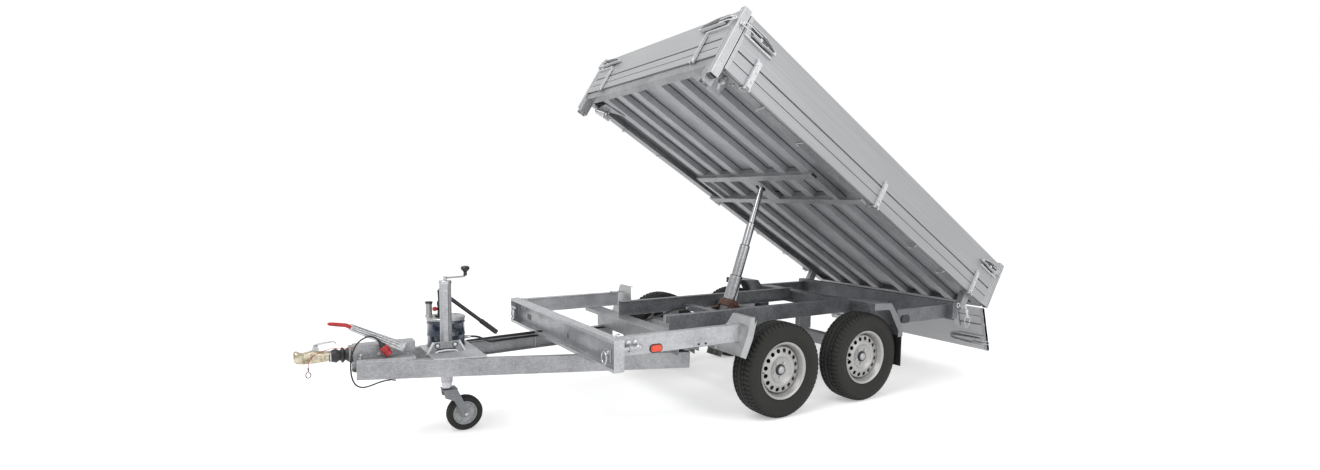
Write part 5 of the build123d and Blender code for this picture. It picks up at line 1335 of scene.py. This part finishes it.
# ---- studio -----------------------------------------------------------------------------------------
def seen_directly(tree):
    """One for a ray from the camera, a mirror or glass, and nought for a ray that only carries light."""
    rays = add(tree, "ShaderNodeLightPath").outputs
    seen = add(tree, "ShaderNodeMath",
               {0: rays["Is Camera Ray"], 1: rays["Is Glossy Ray"]}, operation="MAXIMUM")
    seen = add(tree, "ShaderNodeMath",
               {0: seen.outputs[0], 1: rays["Is Transmission Ray"]}, operation="MAXIMUM")
    return seen.outputs[0]


class TRAILER_OT_stage(bpy.types.Operator):
    """Set the white floor, the soft lamps, the white surroundings and the camera"""
    bl_idname, bl_label = "trailer.stage", "Studio and camera"

    def execute(self, context):
        scene = context.scene
        studio = scene.trailer_studio
        floor = bpy.data.meshes.new("floor")
        half = studio.floor_half
        floor.from_pydata([(-half, -half, 0), (half, -half, 0), (half, half, 0),
                           (-half, half, 0)], [], [(0, 1, 2, 3)])
        ground = bpy.data.objects.new("floor", floor)
        scene.collection.objects.link(ground)
        material = bpy.data.materials.new("white_studio_floor")
        tree = bare_tree(material)
        seen = seen_directly(tree)
        glow = add(tree, "ShaderNodeEmission", {"Color": (1, 1, 1, 1), "Strength": studio.floor_glow})
        dim = add(tree, "ShaderNodeBsdfDiffuse", {"Color": (studio.floor_shade,) * 3 + (1,)})
        both = add(tree, "ShaderNodeAddShader", {0: glow.outputs[0], 1: dim.outputs[0]})
        plain = add(tree, "ShaderNodeBsdfDiffuse", {"Color": (0.85, 0.85, 0.85, 1)})
        mixed = add(tree, "ShaderNodeMixShader", {0: seen, 1: plain.outputs[0], 2: both.outputs[0]})
        add(tree, "ShaderNodeOutputMaterial", {"Surface": mixed.outputs[0]})
        floor.materials.append(material)
        world = bpy.data.worlds.new("white_room")
        scene.world = world
        tree = bare_tree(world)
        seen = seen_directly(tree)
        level = add(tree, "ShaderNodeMapRange", {"Value": seen, "To Min": studio.room_light, "To Max": 1.0})
        sky = add(tree, "ShaderNodeBackground", {"Color": (1, 1, 1, 1), "Strength": level.outputs[0]})
        add(tree, "ShaderNodeOutputWorld", {"Surface": sky.outputs[0]})
        aim = Vector((-0.2, 0, 0.8))
        for name, place, size, power in (("key_lamp", (5.0, 1.5, 6.5), 4.5, studio.key_watts),
                                         ("fill_lamp", (-1.5, 7.0, 4.0), 5.0, studio.fill_watts)):
            lamp = bpy.data.lights.new(name, "AREA")
            lamp.energy, lamp.size = power, size
            light = bpy.data.objects.new(name, lamp)
            light.location = place
            light.rotation_euler = (aim - Vector(place)).to_track_quat("-Z", "Y").to_euler()
            scene.collection.objects.link(light)
        eye = bpy.data.cameras.new("camera")
        eye.sensor_width, eye.lens = 36, 18.018
        eye.shift_x, eye.shift_y = -0.00827, 0.01705
        camera = bpy.data.objects.new("camera", eye)
        camera_at, yaw, pitch, roll = (2.69327, 4.12973, 1.47232), -2.12795, -0.09038, 0.01235
        ahead = Vector((cos(yaw) * cos(pitch), sin(yaw) * cos(pitch), sin(pitch)))
        right = ahead.cross(Vector((0, 0, 1))).normalized()
        up = right.cross(ahead)
        right, up = right * cos(roll) + up * sin(roll), up * cos(roll) - right * sin(roll)
        turned = Matrix((right, up, -ahead)).transposed().to_4x4()
        camera.matrix_world = Matrix.Translation(camera_at) @ turned
        scene.collection.objects.link(camera)
        scene.camera = camera
        scene.view_settings.view_transform = "Standard"
        return {"FINISHED"}


# ---- settings, panel and registration -------------------------------------------------------------
class TrailerColours(bpy.types.PropertyGroup):
    zinc_dark: bpy.props.StringProperty(name="Zinc, dark",
                                        description="Darker tone of the galvanised sections",
                                        default="#7E7F82")
    zinc_light: bpy.props.StringProperty(name="Zinc, light",
                                         description="Lighter tone of the galvanised sections",
                                         default="#A6A7A9")
    tank: bpy.props.StringProperty(name="Tank", description="Enamel of the oil tank", default="#121D2C")
    grip: bpy.props.StringProperty(name="Grips",
                                   description="Red of the handbrake grip and plug", default="#8E1418")
    rubber: bpy.props.StringProperty(name="Rubber", description="Darker tone of the tyres", default="#131312")


class TrailerStudio(bpy.types.PropertyGroup):
    floor_half: bpy.props.FloatProperty(name="Floor",
                                        description="Half the floor's width", default=40, unit="LENGTH")
    floor_glow: bpy.props.FloatProperty(name="Floor glow",
                                        description="White that the floor shows of its own", default=0.36)
    floor_shade: bpy.props.FloatProperty(name="Floor shade",
                                         description="Share of the floor's white that takes shadows",
                                         default=0.9)
    room_light: bpy.props.FloatProperty(name="Room", description="Even light from all round", default=0.72)
    key_watts: bpy.props.FloatProperty(name="Key lamp",
                                       description="Lamp over the front", default=330, unit="POWER")
    fill_watts: bpy.props.FloatProperty(name="Fill lamp",
                                        description="Lamp on the near side", default=150, unit="POWER")


STEPS = ("stage", "finishes", "cords", "boards", "hinges", "latches", "tyres", "wheels", "jockey", "pump",
         "coupling", "handbrake", "fittings", "bed_fittings", "cylinder")


class TRAILER_PT_panel(bpy.types.Panel):
    """The trailer's steps and settings in the sidebar"""
    bl_idname, bl_label = "TRAILER_PT_panel", "Tipping trailer"
    bl_space_type, bl_region_type, bl_category = "VIEW_3D", "UI", "Trailer"

    def draw(self, context):
        for group in (context.scene.trailer_colours, context.scene.trailer_studio):
            for name in group.__annotations__:
                self.layout.prop(group, name)
        for step in STEPS:
            self.layout.operator(f"trailer.{step}")


CLASSES = (TrailerColours, TrailerStudio, TRAILER_PT_panel, TRAILER_OT_stage, TRAILER_OT_finishes,
           TRAILER_OT_cords, TRAILER_OT_boards, TRAILER_OT_hinges, TRAILER_OT_latches, TRAILER_OT_tyres,
           TRAILER_OT_wheels, TRAILER_OT_jockey, TRAILER_OT_pump, TRAILER_OT_coupling, TRAILER_OT_handbrake,
           TRAILER_OT_fittings, TRAILER_OT_bed_fittings, TRAILER_OT_cylinder)


def register():
    for cls in CLASSES:
        bpy.utils.register_class(cls)
    bpy.types.Scene.trailer_colours = bpy.props.PointerProperty(type=TrailerColours)
    bpy.types.Scene.trailer_studio = bpy.props.PointerProperty(type=TrailerStudio)


def unregister():
    del bpy.types.Scene.trailer_studio
    del bpy.types.Scene.trailer_colours
    for cls in reversed(CLASSES):
        bpy.utils.unregister_class(cls)


def main():
    register()
    for step in STEPS:
        getattr(bpy.ops.trailer, step)()


if __name__ == "__main__":
    main()
